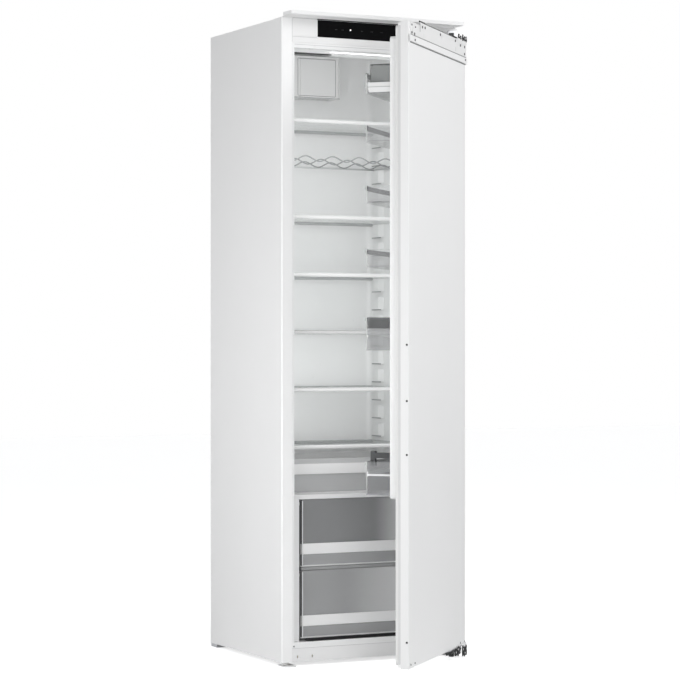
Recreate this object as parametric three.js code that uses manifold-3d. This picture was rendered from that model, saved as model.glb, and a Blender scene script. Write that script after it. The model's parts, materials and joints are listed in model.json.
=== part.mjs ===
// Built-in larder refrigerator with its door part open.
// Millimetres, +Z up. The origin is on the floor under the middle of the cabinet,
// the front faces -Y and +X is to the right of someone who stands before it.
import * as THREE from 'three';
import { mergeVertices } from 'three/addons/utils/BufferGeometryUtils.js';
import Module from 'manifold-3d';

const wasm = await Module();
wasm.setup();

// Clearances and stock
const seat = 0.3;
const overrun = 5;
const sheet = 1;
const plate = 3;
const weld = 0.2;

// Cabinet
const cabinetWidth = 546;
const cabinetDepth = 480;
const cabinetBottom = 10;
const cabinetTop = 1758;
const stileWidth = 31;
const stileHem = 8;
const backHem = 12;
const edgeRadius = 2.5;
const basePlate = 2;
const padLength = 300;
const padDepth = 240;
const padSlope = 8;
const rearPadWidth = 60;
const rearPadDepth = 40;

// Compressor bay, low at the back
const bayDepth = 190;
const bayHeight = 207;

// Room inside the liner
const sideWall = 38;
const rearWall = 25;
const floorWall = 54;
const roofWall = 40;
const mouthWall = 80;
const headerDepth = 136;
const stepWall = 44;
const stepRoof = 40;
const linerWall = 2;
const roomCorner = 18;
const basePanelHeight = 37;
const fasciaHeight = 66;

// Shelf supports moulded in the side walls
const supportCount = 18;
const lowestShelfGap = 25.9;
const topShelfDrop = 189.7;
const supportReach = 9;
const supportLength = 63;
const supportSlope = 20;
const supportFrontAt = 132;
const supportRearGap = 86;
const supportLip = 4;
const supportGroove = 20;
const shelfLevels = [17, 12, 9, 6, 3, 0];
const rackSupportIndex = 15;

// Glass shelves
const shelfFrontAt = 112;
const shelfRearGap = 25;
const glassThickness = 4;
const shelfTrimHeight = 11;
const shelfTrimDepth = 16;
const shelfTrimBite = 8;
const shelfSideGap = 1;

// Bottle rack
const rackWire = 1.7;
const rackRail = 2.6;
const rackWave = 9;
const rackWavePitch = 81;
const rackWireAt = [116, 216, 316];
const rackRearGap = 35;
const rackRailInset = 5;
const rackLift = 3;

// Header with the controls, lamp and top trim
const fasciaDepth = 24;
const fasciaWall = 2.5;
const fasciaGroove = 1;
const glassPanelWidth = 329;
const glassPanelLift = 19;
const trimRise = 14;
const trimReach = 48;
const trimDrop = 13;
const trimLip = 10;
const trimWall = 2.2;
const trimFoot = 60;
const trimInset = 6;
const lampWidth = 196;
const lampDepth = 46;
const lampAt = 30;
const lampThickness = 5;
const slotWidth = 165;
const slotAt = 104;
const slotDepth = 24;
const slotHeight = 20;

// Cold air fan on the back wall
const fanCoverLeft = 84;
const fanCoverRight = 68;
const fanCoverRise = 62;
const fanCoverFall = 59;
const fanCoverDepth = 68;
const fanCoverWall = 3;
const fanCoverCorner = 5;
const fanPanelHalf = 61;
const fanPanelRise = 54;
const fanGroove = 2;
const fanSlots = 7;
const fanSlotPitch = 15;
const fanSlotWidth = 6;
const fanCentreX = 31;
const fanDrop = 70;
const fanRadius = 40;
const fanHub = 13;
const fanBlade = 1.8;
const fanThickness = 20;
const fanBlades = 7;
const fanTwist = 0.6;
const motorRadius = 17;
const motorLength = 18;
const axleRadius = 2.5;

// Crispers and their guides
const guideFrontAt = 15;
const guideWidth = 21;
const guideRise = 8;
const ledgeReach = 5;
const ledgeHeight = 8;
const drawerWall = 2.5;
const drawerFlange = 7;
const drawerRunGap = 1;
const drawerCorner = 9;
const drawerFrontAt = 20;
const lowerDrawerLift = 7;
const lowerDrawerDrop = 2;
const lowerDrawerRearGap = 4;
const middleDrawerLift = 9;
const middleDrawerHeight = 183;
const middleDrawerRearGap = 15;
const upperDrawerGap = 12;
const upperDrawerHeight = 92;
const upperDrawerRearGap = 43;
const stripThickness = 3;
const stripHeight = 29;
const lowerStripLift = 33;
const middleStripLift = 34;
const upperStripLift = 49.4;
const coverPlate = 5;
const coverLip = 12;

// Door, in its own frame: the hinge line is at 0, -X runs to the free edge and
// +Y runs to the cabinet when the door is shut
const doorShort = 6;
const doorLift = 25;
const doorDrop = 51;
const doorOpen = 44.5;
const hingeInset = 0.5;
const hingeForward = 30;
const doorFace = 8;
const doorPan = 22;
const doorFlange = 7.5;
const gasketThickness = 7.5;
const gasketWidth = 18;
const gasketInset = 8;
const flangeInset = 3;
const dykeGap = 4;
const dykeWidth = 15;
const dykeReach = 24;
const dykeBottomGap = 7.7;
const dykeSill = 6;
const dykeTopGap = 3;
const dykeCorner = 10;
const dykeRecess = 4;
const lugReach = 1.6;
const lugHeight = 14;
const lugDepth = 18;

// Door bins
const binSideGap = 2;
const binBack = 24;
const binFront = 130;
const binBow = 5;
const binWall = 2;
const binCorner = 14;
const binRim = 9;
const binRimReach = 1.5;
const binDraftShare = 0.985;
const binPlaceShares = [1060 / 1205, 932 / 1205, 772 / 1205, 604 / 1205, 387 / 1205, 8 / 1205];
const binWallHeights = [28, 44, 46, 48, 87, 88];
const dairyFrontRise = 25;
const lidSideGap = 6;
const lidFront = 117;
const lidHeight = 48;
const lidWall = 2;
const lidHinge = 5;
const lidCorner = 5;
const lidPinRadius = 2;
const holderWidth = 16;
const holderWall = 3;
const holderReach = 58;
const holderOffset = 137.5;
const holderRise = 25;
const holderLeg = 14;
const holderFingerRise = 6;
const holderFingerHeight = 14;

// Furniture panel bracket and rail on the door's outer face
const bracketSheet = 2.5;
const bracketDrop = 34;
const bracketRise = 8;
const bracketStep = 92;
const bracketEnd = 11;
const railDrop = 17;
const railHeight = 16.5;
const railDepth = 4;
const railPast = 4;
const slotHalf = 2.2;
const slotRun = 12;

// Hinges
const hingePlateWidth = 30;
const hingePlateEdge = 2;
const hingePlateGap = 5;
const hingePlateDrop = 6;
const hingeFootGap = 1;
const armPinX = 4;
const armPinY = 16;
const armPinRadius = 3;
const armEye = 8;
const armLength = 120;
const armShare = 0.9206;
const armShutAngle = 6.22;
const shoeRadius = 5;
const shoePinRadius = 2.5;
const shoePinLength = 2;
const doorSwing = 115;
const slideHalf = 3.3;
const slideSteps = 10;
const armThickness = 4;
const armWaist = 5;
const armTopGap = 13;
const armBottomGap = 17;
const tongueGap = 4;
const tongueNose = 8;
const tongueCorner = 3;
const doorPlateLength = 184;
const doorPlateInset = 6;
const doorPlateDepth = 24;
const doorPlateSet = 1.5;
const damperRadius = 7.5;
const damperHeight = 12;
const damperBack = 34;

// Feet under the front corners
const footLength = 52;
const footWidth = 36;
const footForward = 17;
const footPlate = 3;
const footScrew = 10;

// Base panel under the mouth
const basePanelSheet = 2;
const basePanelFold = 10;
const ventWidth = 3;
const ventHeight = 7;
const ventPlaces = [16.7, 60.7];
const ventRise = 11;

// Refrigeration
const compressorRadius = 76;
const compressorHeight = 148;
const compressorSeam = 3;
const compressorFootLength = 200;
const compressorFootWidth = 110;
const compressorX = 120;
const pipeRadius = 3.2;
const condenserTube = 2.4;
const condenserWidth = 440;
const condenserLift = 113;
const condenserDrop = 308;
const condenserRuns = 11;
const condenserStrap = 12;
const condenserGap = 14;
const condenserStraps = [-130, 130];
const evaporatorWidth = 380;
const evaporatorBottom = 700;
const evaporatorHeight = 620;
const evaporatorRuns = 6;
const evaporatorTube = 3.5;
const relaySize = 28;

// Smoothness
const fineSides = 20;
const wireSides = 6;
const arcSteps = 3;

// Places that follow from the sizes above
const halfWidth = cabinetWidth / 2;
const frontY = -cabinetDepth / 2;
const backY = cabinetDepth / 2;
const halfRoom = halfWidth - sideWall;
const roomBackY = backY - rearWall;
const headerY = frontY + headerDepth;
const bayY = backY - bayDepth;
const stepY = bayY - stepWall;
const bayTop = cabinetBottom + bayHeight;
const stepTop = bayTop + stepRoof;
const roomFloor = cabinetBottom + floorWall;
const roomTop = cabinetTop - roofWall;
const mouthTop = cabinetTop - mouthWall;
const flangeHalf = halfWidth - stileWidth - seat;
const flangeBottom = cabinetBottom + basePanelHeight;
const flangeTop = cabinetTop - fasciaHeight;
const glassPanelBottom = flangeTop + glassPanelLift;
const glassPanelTop = cabinetTop - sheet - seat;
const trimTop = cabinetTop + trimRise;
const fanCentreZ = roomTop - fanDrop;
const hingeX = halfWidth - hingeInset;
const hingeY = frontY - hingeForward;
const doorMiddle = -hingeX;
const doorOut = -doorFace;
const doorPanBack = doorOut + doorPan;
const doorLinerBack = doorPanBack + seat + doorFlange;
const guideInner = halfRoom - seat - guideWidth;
const drawerHalf = guideInner - ledgeReach - drawerRunGap;
const drawerFlangeHalf = guideInner - drawerRunGap;
const upperDrawerHalf = halfRoom - upperDrawerGap;
const drawerY = frontY + drawerFrontAt;
const lowerDrawerBottom = roomFloor + lowerDrawerLift;
const lowerDrawerTop = stepTop - lowerDrawerDrop;
const lowerDrawerDepth = stepY - lowerDrawerRearGap - drawerY;
const middleDrawerBottom = stepTop + middleDrawerLift;
const middleDrawerTop = middleDrawerBottom + middleDrawerHeight;
const middleDrawerDepth = roomBackY - middleDrawerRearGap - drawerY;
const guideTop = middleDrawerTop + guideRise;
const coverTop = guideTop + seat + coverPlate;
const upperDrawerBottom = coverTop + seat;
const shelfY = frontY + shelfFrontAt;
const upperDrawerDepth = roomBackY - upperDrawerRearGap - shelfY;
const supportFirst = upperDrawerBottom + upperDrawerHeight + lowestShelfGap;
const supportPitch = (mouthTop - topShelfDrop - supportFirst) / (supportCount - 1);
const level = (k) => supportFirst + k * supportPitch;
const fanFrontY = roomBackY - fanCoverDepth + fanCoverWall + motorLength + plate;
const evaporatorY = roomBackY + linerWall + seat + evaporatorTube;
const doorWidth = cabinetWidth - doorShort;
const doorBottom = cabinetBottom + doorLift;
const doorTop = cabinetTop - doorDrop;
const dykeBottom = coverTop + dykeBottomGap;
const dykeTop = mouthTop - dykeTopGap;
const dykeHalf = halfRoom - dykeGap;
const dykeInner = dykeHalf - dykeWidth;
const binHalf = dykeInner - binSideGap;
const lidHalf = binHalf - lidSideGap;
const holderAt = hingeX + holderOffset;
const binHeights = binPlaceShares.map((share, i) => {
  const bottom = dykeBottom + share * (dykeTop - dykeBottom);
  return [bottom, bottom + binWallHeights[i]];
});
const dairyFrontTop = binHeights[0][1] + dairyFrontRise;
const lidTop = binHeights[0][1] + lidHeight;
const bracketBottom = doorTop - bracketDrop;
const bracketTop = doorTop + bracketRise;
const railBottom = bracketBottom - railDrop;
const armTopZ = doorTop + armTopGap;
const armBottomZ = doorBottom - armBottomGap;
const condenserBottom = bayTop + condenserLift;
const condenserPitch = (cabinetTop - condenserDrop - condenserBottom) / (condenserRuns - 1);
const lugY = doorLinerBack + plate;

// Materials
function paint(color, roughness, metalness) {
  return new THREE.MeshStandardMaterial({ color, roughness, metalness });
}
const whiteSteel = paint(0xe9eaea, 0.35, 0.1);
const whitePlastic = paint(0xf0f0ef, 0.45, 0);
const zinc = paint(0xb9bcbe, 0.4, 0.8);
const darkSteel = paint(0x3a3b3d, 0.45, 0.7);
const chrome = paint(0xd4d6d8, 0.12, 1);
const blackGlass = paint(0x08090a, 0.08, 0);
const lampWhite = paint(0xffffff, 0.3, 0);
const shelfGlass = paint(0xd8e2de, 0.06, 0);
const clearPlastic = paint(0xb9bdc0, 0.15, 0);
const rubber = paint(0xe2e2e0, 0.7, 0);
const blackPaint = paint(0x17181a, 0.5, 0.3);
const copper = paint(0xb56b45, 0.35, 0.9);
const foam = paint(0xe8d9a8, 0.95, 0);
const greyPlastic = paint(0x55585b, 0.6, 0);

// Solids and meshes
function solid(geometry) {
  const bare = geometry.index ? geometry.clone() : geometry;
  bare.deleteAttribute('normal');
  bare.deleteAttribute('uv');
  const merged = mergeVertices(bare, weld * weld * weld * weld);
  return new wasm.Manifold(new wasm.Mesh({
    numProp: 3,
    vertProperties: new Float32Array(merged.attributes.position.array),
    triVerts: new Uint32Array(merged.index.array),
  }));
}

function geometryOf(body) {
  const mesh = body.getMesh();
  const geometry = new THREE.BufferGeometry();
  geometry.setAttribute('position', new THREE.BufferAttribute(mesh.vertProperties, 3));
  geometry.setIndex(new THREE.BufferAttribute(mesh.triVerts, 1));
  geometry.computeVertexNormals();
  return geometry;
}

function join(...bodies) {
  return bodies.reduce((whole, body) => whole.add(body));
}

function cut(body, ...tools) {
  return tools.reduce((rest, tool) => rest.subtract(tool), body);
}

// A box between two corners
function block(x0, x1, y0, y1, z0, z1) {
  const geometry = new THREE.BoxGeometry(x1 - x0, y1 - y0, z1 - z0);
  geometry.translate((x0 + x1) / 2, (y0 + y1) / 2, (z0 + z1) / 2);
  return solid(geometry);
}

// Extrusions of an outline: along Z of (x, y), along X of (y, z), along Y of (x, z)
function extrude(shape, length, basis, steps = arcSteps) {
  const options = { depth: length, bevelEnabled: false, curveSegments: steps };
  const geometry = new THREE.ExtrudeGeometry(shape, options);
  geometry.applyMatrix4(basis);
  return solid(geometry);
}

const axisX = new THREE.Vector3(1, 0, 0);
const axisY = new THREE.Vector3(0, 1, 0);
const axisZ = new THREE.Vector3(0, 0, 1);

function alongZ(shape, z0, z1, steps) {
  const basis = new THREE.Matrix4().makeTranslation(0, 0, z0);
  return extrude(shape, z1 - z0, basis, steps);
}

function alongX(shape, x0, x1, steps) {
  const basis = new THREE.Matrix4().makeBasis(axisY, axisZ, axisX).setPosition(x0, 0, 0);
  return extrude(shape, x1 - x0, basis, steps);
}

function alongY(shape, y0, y1, steps) {
  const towards = axisY.clone().negate();
  const basis = new THREE.Matrix4().makeBasis(axisX, axisZ, towards).setPosition(0, y1, 0);
  return extrude(shape, y1 - y0, basis, steps);
}

function outline(points) {
  return new THREE.Shape(points.map(([u, v]) => new THREE.Vector2(u, v)));
}

function roundedRect(u0, u1, v0, v1, radius) {
  const shape = new THREE.Shape();
  shape.moveTo(u0 + radius, v0);
  shape.lineTo(u1 - radius, v0);
  shape.absarc(u1 - radius, v0 + radius, radius, -Math.PI / 2, 0, false);
  shape.lineTo(u1, v1 - radius);
  shape.absarc(u1 - radius, v1 - radius, radius, 0, Math.PI / 2, false);
  shape.lineTo(u0 + radius, v1);
  shape.absarc(u0 + radius, v1 - radius, radius, Math.PI / 2, Math.PI, false);
  shape.lineTo(u0, v0 + radius);
  shape.absarc(u0 + radius, v0 + radius, radius, Math.PI, Math.PI * 1.5, false);
  return shape;
}

// A strip of sheet metal bent along a path, with its thickness to the left of the path
function bent(path, thickness) {
  const points = path.map(([u, v]) => new THREE.Vector2(u, v));
  const normals = points.slice(1).map((p, i) => {
    const run = p.clone().sub(points[i]).normalize();
    return new THREE.Vector2(-run.y, run.x);
  });
  const inner = points.map((p, i) => {
    const before = normals[Math.max(i - 1, 0)];
    const after = normals[Math.min(i, normals.length - 1)];
    const mitre = before.clone().add(after);
    return p.clone().add(mitre.multiplyScalar(thickness / (1 + before.dot(after))));
  });
  return new THREE.Shape([...points, ...inner.reverse()]);
}

// A round bar between two points
function rod(radius, from, to, sides = fineSides) {
  const start = new THREE.Vector3(...from);
  const run = new THREE.Vector3(...to).sub(start);
  const geometry = new THREE.CylinderGeometry(radius, radius, run.length(), sides);
  const turn = new THREE.Quaternion().setFromUnitVectors(axisY, run.clone().normalize());
  geometry.applyQuaternion(turn);
  geometry.translate(...start.addScaledVector(run, 1 / 2).toArray());
  return solid(geometry);
}

// A tube bent along a curve
function tube(points, radius, steps, sides, straight = false) {
  const corners = points.map((p) => new THREE.Vector3(...p));
  let curve = new THREE.CatmullRomCurve3(corners);
  if (straight) {
    curve = new THREE.CurvePath();
    corners.slice(1).forEach((p, i) => curve.add(new THREE.LineCurve3(corners[i], p)));
  }
  const section = new THREE.Shape();
  section.absarc(0, 0, radius, 0, Math.PI * 2, false);
  const options = { extrudePath: curve, steps, curveSegments: sides };
  return solid(new THREE.ExtrudeGeometry(section, options));
}

function add(group, name, body, material) {
  const mesh = new THREE.Mesh(geometryOf(body), material);
  mesh.name = name;
  group.add(mesh);
  return mesh;
}

// Outer case
function sidePanel(side) {
  const x = side * halfWidth;
  const stile = side * (halfWidth - stileWidth);
  const hem = side * (halfWidth - backHem);
  const round = side * (halfWidth - edgeRadius);
  const path = [
    [hem, backY],
    [x, backY],
    [x, frontY + edgeRadius],
    [round, frontY],
    [stile, frontY],
    [stile, frontY + stileHem],
  ];
  return alongZ(bent(path, -side * sheet), cabinetBottom, cabinetTop);
}

function topPanel() {
  const half = halfWidth - sheet - seat;
  const front = frontY + sheet + seat;
  const back = backY - sheet - seat;
  const inner = halfWidth - stileWidth - seat;
  const step = frontY + stileHem + seat;
  const shape = outline([
    [-inner, front],
    [inner, front],
    [inner, step],
    [half, step],
    [half, back],
    [-half, back],
    [-half, step],
    [-inner, step],
  ]);
  return alongZ(shape, cabinetTop - sheet, cabinetTop);
}

// One sheet: back wall, roof of the compressor bay and its front wall
function backPanel() {
  const half = halfWidth - sheet - seat;
  const y = backY - sheet - seat;
  const path = [
    [bayY, cabinetBottom + basePlate + seat],
    [bayY, bayTop],
    [y, bayTop],
    [y, cabinetTop - sheet - seat],
  ];
  return alongX(bent(path, sheet), -half, half);
}

// Bottom plate, pressed down to the floor in the middle and under its rear corners
function basePan() {
  const half = halfWidth - sheet - seat;
  const front = frontY + basePanelFold + seat + basePanelSheet;
  const back = backY - sheet - seat;
  const top = cabinetBottom + basePlate;
  const pad = { x: padLength / 2, y: padDepth / 2 };
  const pressed = taperedPad(pad.x, pad.y, 0, top, padSlope);
  const hollow = taperedPad(pad.x - basePlate, pad.y - basePlate, basePlate, top + basePlate, padSlope);
  const flat = block(-half, half, front, back, cabinetBottom, top);
  const rear = [-1, 1].map((side) => {
    const x = side * (half - rearPadWidth / 2);
    const y0 = back - rearPadDepth;
    return block(x - rearPadWidth / 2, x + rearPadWidth / 2, y0, back, 0, top);
  });
  return cut(join(flat, pressed, ...rear), hollow);
}

function taperedPad(halfX, halfY, z0, z1, slope) {
  const geometry = new THREE.BoxGeometry(1, 1, 1);
  const place = geometry.attributes.position;
  for (let i = 0; i < place.count; i += 1) {
    const low = place.getZ(i) < 0;
    const grow = low ? 0 : slope;
    const x = Math.sign(place.getX(i)) * (halfX + grow);
    const y = Math.sign(place.getY(i)) * (halfY + grow);
    place.setXYZ(i, x, y, low ? z0 : z1);
  }
  return solid(geometry);
}

// The room inside, grown outward by a wall
function room(grow, front) {
  const profile = outline([
    [front, roomFloor - grow],
    [stepY + grow, roomFloor - grow],
    [stepY + grow, stepTop - grow],
    [roomBackY + grow, stepTop - grow],
    [roomBackY + grow, roomTop + grow],
    [headerY - grow, roomTop + grow],
    [headerY - grow, mouthTop + grow],
    [front, mouthTop + grow],
  ]);
  const half = halfRoom + grow;
  const corner = roomCorner + grow;
  const plan = roundedRect(-half, half, frontY - cabinetDepth, roomBackY + grow, corner);
  const body = alongX(profile, -half, half);
  return body.intersect(alongZ(plan, roomFloor - grow - overrun, roomTop + grow + overrun));
}

// Recesses of the lamp and the air slot in the roof of the mouth
function lampPocket(grow) {
  const half = lampWidth / 2 + grow;
  const y0 = frontY + lampAt - grow;
  const top = mouthTop + lampThickness + seat + grow;
  return block(-half, half, y0, y0 + lampDepth + grow * 2, mouthTop - grow, top);
}

function slotPocket(grow) {
  const x0 = -halfRoom + grow + seat;
  const x1 = x0 + slotWidth + grow;
  const y0 = frontY + slotAt - grow;
  const y1 = y0 + slotDepth + grow * 2;
  return block(x0 - grow, x1, y0, y1, mouthTop - grow, mouthTop + slotHeight + grow);
}

// Supports on one side wall, each a moulded pad with sloping ends
function wallSupports(side) {
  const wall = side * (halfRoom + linerWall / 2);
  const face = side * (halfRoom - supportReach);
  const pads = [];
  for (const start of [frontY + supportFrontAt, roomBackY - supportRearGap]) {
    const plan = outline([
      [wall, start],
      [face, start + supportSlope],
      [face, start + supportLength - supportSlope],
      [wall, start + supportLength],
    ]);
    for (let k = 0; k < supportCount; k += 1) {
      const low = level(k - 1) + supportGroove;
      pads.push(alongZ(plan, low, level(k) + supportLip));
    }
  }
  return pads;
}

function innerLiner() {
  const flange = block(-flangeHalf, flangeHalf, frontY, frontY + linerWall, flangeBottom, flangeTop);
  const outer = join(room(linerWall, frontY), flange, lampPocket(linerWall), slotPocket(linerWall));
  const hollow = join(room(0, frontY - overrun), lampPocket(0), slotPocket(0));
  return join(cut(outer, hollow), ...wallSupports(-1), ...wallSupports(1));
}

// Foam between the case and the liner
function insulation() {
  const gap = sheet + seat;
  const half = halfWidth - gap;
  const back = backY - sheet * 2 - seat * 2;
  const front = frontY + stileHem + seat;
  const low = cabinetBottom + basePlate + seat;
  const profile = outline([
    [front, low],
    [bayY - sheet - seat, low],
    [bayY - sheet - seat, bayTop + gap],
    [back, bayTop + gap],
    [back, cabinetTop - gap],
    [front, cabinetTop - gap],
  ]);
  const grow = linerWall + seat;
  const fascia = block(-half, half, front - overrun, frontY + fasciaDepth + seat,
    flangeTop, cabinetTop + overrun);
  const lamp = lampPocket(grow);
  const slot = slotPocket(grow);
  const evaporatorRoom = block(
    -evaporatorWidth / 2 - seat, evaporatorWidth / 2 + seat,
    roomBackY, evaporatorY + evaporatorTube + seat,
    evaporatorBottom - seat, evaporatorBottom + evaporatorHeight + seat,
  );
  return cut(alongX(profile, -half, half), room(grow, front - overrun), fascia, lamp, slot,
    evaporatorRoom);
}

// Header
function controlFascia() {
  const low = flangeTop + seat;
  const high = cabinetTop - seat;
  const half = flangeHalf;
  const shell = block(-half, half, frontY, frontY + fasciaDepth, low, high);
  const hollow = block(-half + fasciaWall, half - fasciaWall, frontY + fasciaWall,
    frontY + fasciaDepth + overrun, low + fasciaWall, high - sheet - fasciaWall);
  const notch = block(-half - overrun, half + overrun, frontY + sheet, frontY + fasciaDepth + overrun,
    high - sheet - seat, high + overrun);
  const panel = glassPanelWidth / 2 + seat;
  const window = block(-panel, panel, frontY - overrun, frontY + fasciaDepth - fasciaWall,
    glassPanelBottom - seat, high + overrun);
  const line = block(-half - overrun, half + overrun, frontY - overrun, frontY + fasciaGroove,
    glassPanelBottom - fasciaGroove - seat, glassPanelBottom - seat);
  return cut(shell, hollow, notch, window, line);
}

function controlGlass() {
  const half = glassPanelWidth / 2;
  const face = frontY + seat;
  return block(-half, half, face, face + plate, glassPanelBottom, glassPanelTop);
}

// A channel open below that hides the gap to the furniture, with a screw foot on the top panel
function topTrim() {
  const low = trimTop - trimDrop;
  const front = frontY - trimReach;
  const web = frontY + sheet + seat + trimWall;
  const foot = cabinetTop + seat;
  const x0 = -halfWidth + trimInset;
  const x1 = halfWidth - trimInset;
  const channel = cut(
    block(x0, x1, front, web, low, trimTop),
    block(x0 + trimWall, x1 - trimWall, front + trimWall, web - trimWall, low - overrun, trimTop - trimWall),
  );
  const relief = block(x0 - overrun, x1 + overrun, front - overrun, web - trimWall,
    low - overrun, trimTop - trimLip);
  return join(cut(channel, relief),
    block(x0, x1, web - trimWall, web + trimFoot, foot, foot + trimWall));
}

function lampLens() {
  const half = lampWidth / 2 - seat;
  const y0 = frontY + lampAt + seat;
  const y1 = y0 + lampDepth - seat * 2;
  const shape = roundedRect(-half, half, y0, y1, lampThickness);
  return alongZ(shape, mouthTop, mouthTop + lampThickness);
}

// A hood over the fan, open at the wall and slotted below, with a groove round its front panel
function fanCover() {
  const face = roomBackY - fanCoverDepth;
  const wall = roomBackY - seat;
  const low = fanCentreZ - fanCoverFall;
  const high = fanCentreZ + fanCoverRise;
  const plan = (inset) => roundedRect(fanCentreX - fanCoverLeft + inset, fanCentreX + fanCoverRight - inset,
    face + inset, wall + fanCoverDepth, fanCoverCorner - inset);
  const behind = block(fanCentreX - fanCoverLeft - overrun, fanCentreX + fanCoverRight + overrun,
    wall, wall + fanCoverDepth + overrun, low - overrun, high + overrun);
  const shell = cut(
    alongZ(plan(0), low, high),
    alongZ(plan(fanCoverWall), low + fanCoverWall, high - fanCoverWall),
    behind,
  );
  const grooveTop = fanCentreZ + fanPanelRise;
  const sunk = face + fanGroove;
  const grooves = [
    block(fanCentreX - fanPanelHalf - fanGroove, fanCentreX - fanPanelHalf, face - overrun, sunk,
      low - overrun, grooveTop + fanGroove),
    block(fanCentreX + fanPanelHalf, fanCentreX + fanPanelHalf + fanGroove, face - overrun, sunk,
      low - overrun, grooveTop + fanGroove),
    block(fanCentreX - fanPanelHalf - weld, fanCentreX + fanPanelHalf + weld, face - overrun, sunk,
      grooveTop, grooveTop + fanGroove),
  ];
  const slots = [];
  for (let i = 0; i < fanSlots; i += 1) {
    const x = fanCentreX + (i - (fanSlots - 1) / 2) * fanSlotPitch;
    slots.push(block(x - fanSlotWidth / 2, x + fanSlotWidth / 2, face + fanCoverDepth * 0.4,
      face + fanCoverDepth * 0.85, low - overrun, low + fanCoverWall + overrun));
  }
  const motor = rod(motorRadius, [fanCentreX, face + fanCoverWall / 2, fanCentreZ],
    [fanCentreX, face + fanCoverWall + motorLength, fanCentreZ]);
  const axle = rod(axleRadius, [fanCentreX, face + fanCoverWall, fanCentreZ],
    [fanCentreX, fanFrontY + fanThickness, fanCentreZ], fineSides / 2);
  return join(cut(shell, ...grooves, ...slots), motor, axle);
}

// Axial rotor: a hub with twisted blades on the motor's axle
function fanRotor() {
  const y0 = fanFrontY;
  const y1 = y0 + fanThickness;
  const parts = [rod(fanHub, [0, y0, 0], [0, y1, 0])];
  for (let i = 0; i < fanBlades; i += 1) {
    const geometry = new THREE.BoxGeometry(fanRadius - fanHub / 2, fanBlade, fanThickness * 0.9, 4, 1, 1);
    const place = geometry.attributes.position;
    for (let v = 0; v < place.count; v += 1) {
      const radius = place.getX(v) + (fanRadius + fanHub / 2) / 2;
      const lean = fanTwist * (1.6 - radius / fanRadius);
      const along = place.getZ(v);
      const across = place.getY(v);
      const turn = along * Math.sin(lean) + across;
      place.setXYZ(v, radius, along * Math.cos(lean), turn);
    }
    geometry.translate(0, (y0 + y1) / 2, 0);
    geometry.rotateY(i * Math.PI * 2 / fanBlades);
    parts.push(flip(geometry));
  }
  const bore = rod(axleRadius + seat, [0, y0 - overrun, 0], [0, y1 + overrun, 0], fineSides / 2);
  return cut(join(...parts), bore).translate(fanCentreX, 0, fanCentreZ);
}

// A mesh turned inside out by a swap of axes is faced outward again
function flip(geometry) {
  const index = geometry.index;
  for (let i = 0; i < index.count; i += 3) {
    const first = index.getX(i);
    index.setX(i, index.getX(i + 1));
    index.setX(i + 1, first);
  }
  return solid(geometry);
}

// Shelves
function shelfPane(k) {
  const half = halfRoom - shelfSideGap;
  const y0 = shelfY + shelfTrimDepth - shelfTrimBite;
  const z = level(k) + supportLip + seat;
  return block(-half, half, y0, roomBackY - shelfRearGap, z, z + glassThickness);
}

// Moulded front trim that grips the pane
function shelfTrim(k) {
  const y = shelfY;
  const z = level(k);
  const grip = z + supportLip;
  const mouth = y + shelfTrimDepth - shelfTrimBite - seat;
  const nose = shelfTrimHeight / 4;
  const shape = outline([
    [y + nose, z],
    [y + shelfTrimDepth, z],
    [y + shelfTrimDepth, grip],
    [mouth, grip],
    [mouth, grip + glassThickness + seat * 2],
    [y + shelfTrimDepth, grip + glassThickness + seat * 2],
    [y + shelfTrimDepth, z + shelfTrimHeight - sheet],
    [y + shelfTrimDepth - sheet, z + shelfTrimHeight],
    [y + nose, z + shelfTrimHeight],
    [y, z + shelfTrimHeight - nose],
    [y, z + nose],
  ]);
  const half = halfRoom - shelfSideGap;
  return alongX(shape, -half, half);
}

// Wavy wires between two side rails that lie on the supports
function bottleRack() {
  const railX = halfRoom - rackRailInset;
  const railZ = level(rackSupportIndex) + supportLip + seat + rackRail;
  const start = frontY + rackWireAt[0] - rackRail;
  const rearY = roomBackY - rackRearGap;
  const end = rearY + rackRail;
  const parts = [-1, 1].map((side) => (
    rod(rackRail, [side * railX, start, railZ], [side * railX, end, railZ], wireSides + 2)
  ));
  const waves = Math.round(railX * 2 / rackWavePitch * 2) / 2;
  const steps = Math.round(waves * wireSides);
  rackWireAt.forEach((at, row) => {
    const points = [];
    for (let i = 0; i <= steps; i += 1) {
      const share = i / steps;
      const swing = Math.sin(share * waves * Math.PI * 2 + row * Math.PI);
      const rise = rackLift * Math.sin(share * Math.PI) + rackWave * swing;
      points.push([(share * 2 - 1) * railX, frontY + at, railZ + rise]);
    }
    parts.push(tube(points, rackWire, steps, wireSides, true));
  });
  parts.push(rod(rackRail, [-railX, rearY, railZ], [railX, rearY, railZ], wireSides + 2));
  return join(...parts);
}

// Crisper zone
function drawerGuide(side) {
  const y0 = frontY + guideFrontAt;
  const wall = halfRoom - seat;
  const low = roomFloor + seat;
  const split = stepTop + seat;
  const across = (x0, x1, ya, yb, z0, z1) => (
    block(Math.min(side * x0, side * x1), Math.max(side * x0, side * x1), ya, yb, z0, z1)
  );
  const lowerEnd = stepY - seat;
  const upperEnd = roomBackY - roomCorner - seat;
  const ledge = (top, depth) => (
    across(guideInner - ledgeReach, guideInner + ledgeReach, y0 + ledgeHeight, drawerY + depth,
      top - drawerFlange - seat - ledgeHeight, top - drawerFlange - seat)
  );
  return join(
    across(guideInner, wall, y0, lowerEnd, low, guideTop),
    across(guideInner, wall, y0, upperEnd, split, guideTop),
    ledge(lowerDrawerTop, lowerDrawerDepth - overrun),
    ledge(middleDrawerTop, middleDrawerDepth),
  );
}

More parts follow.
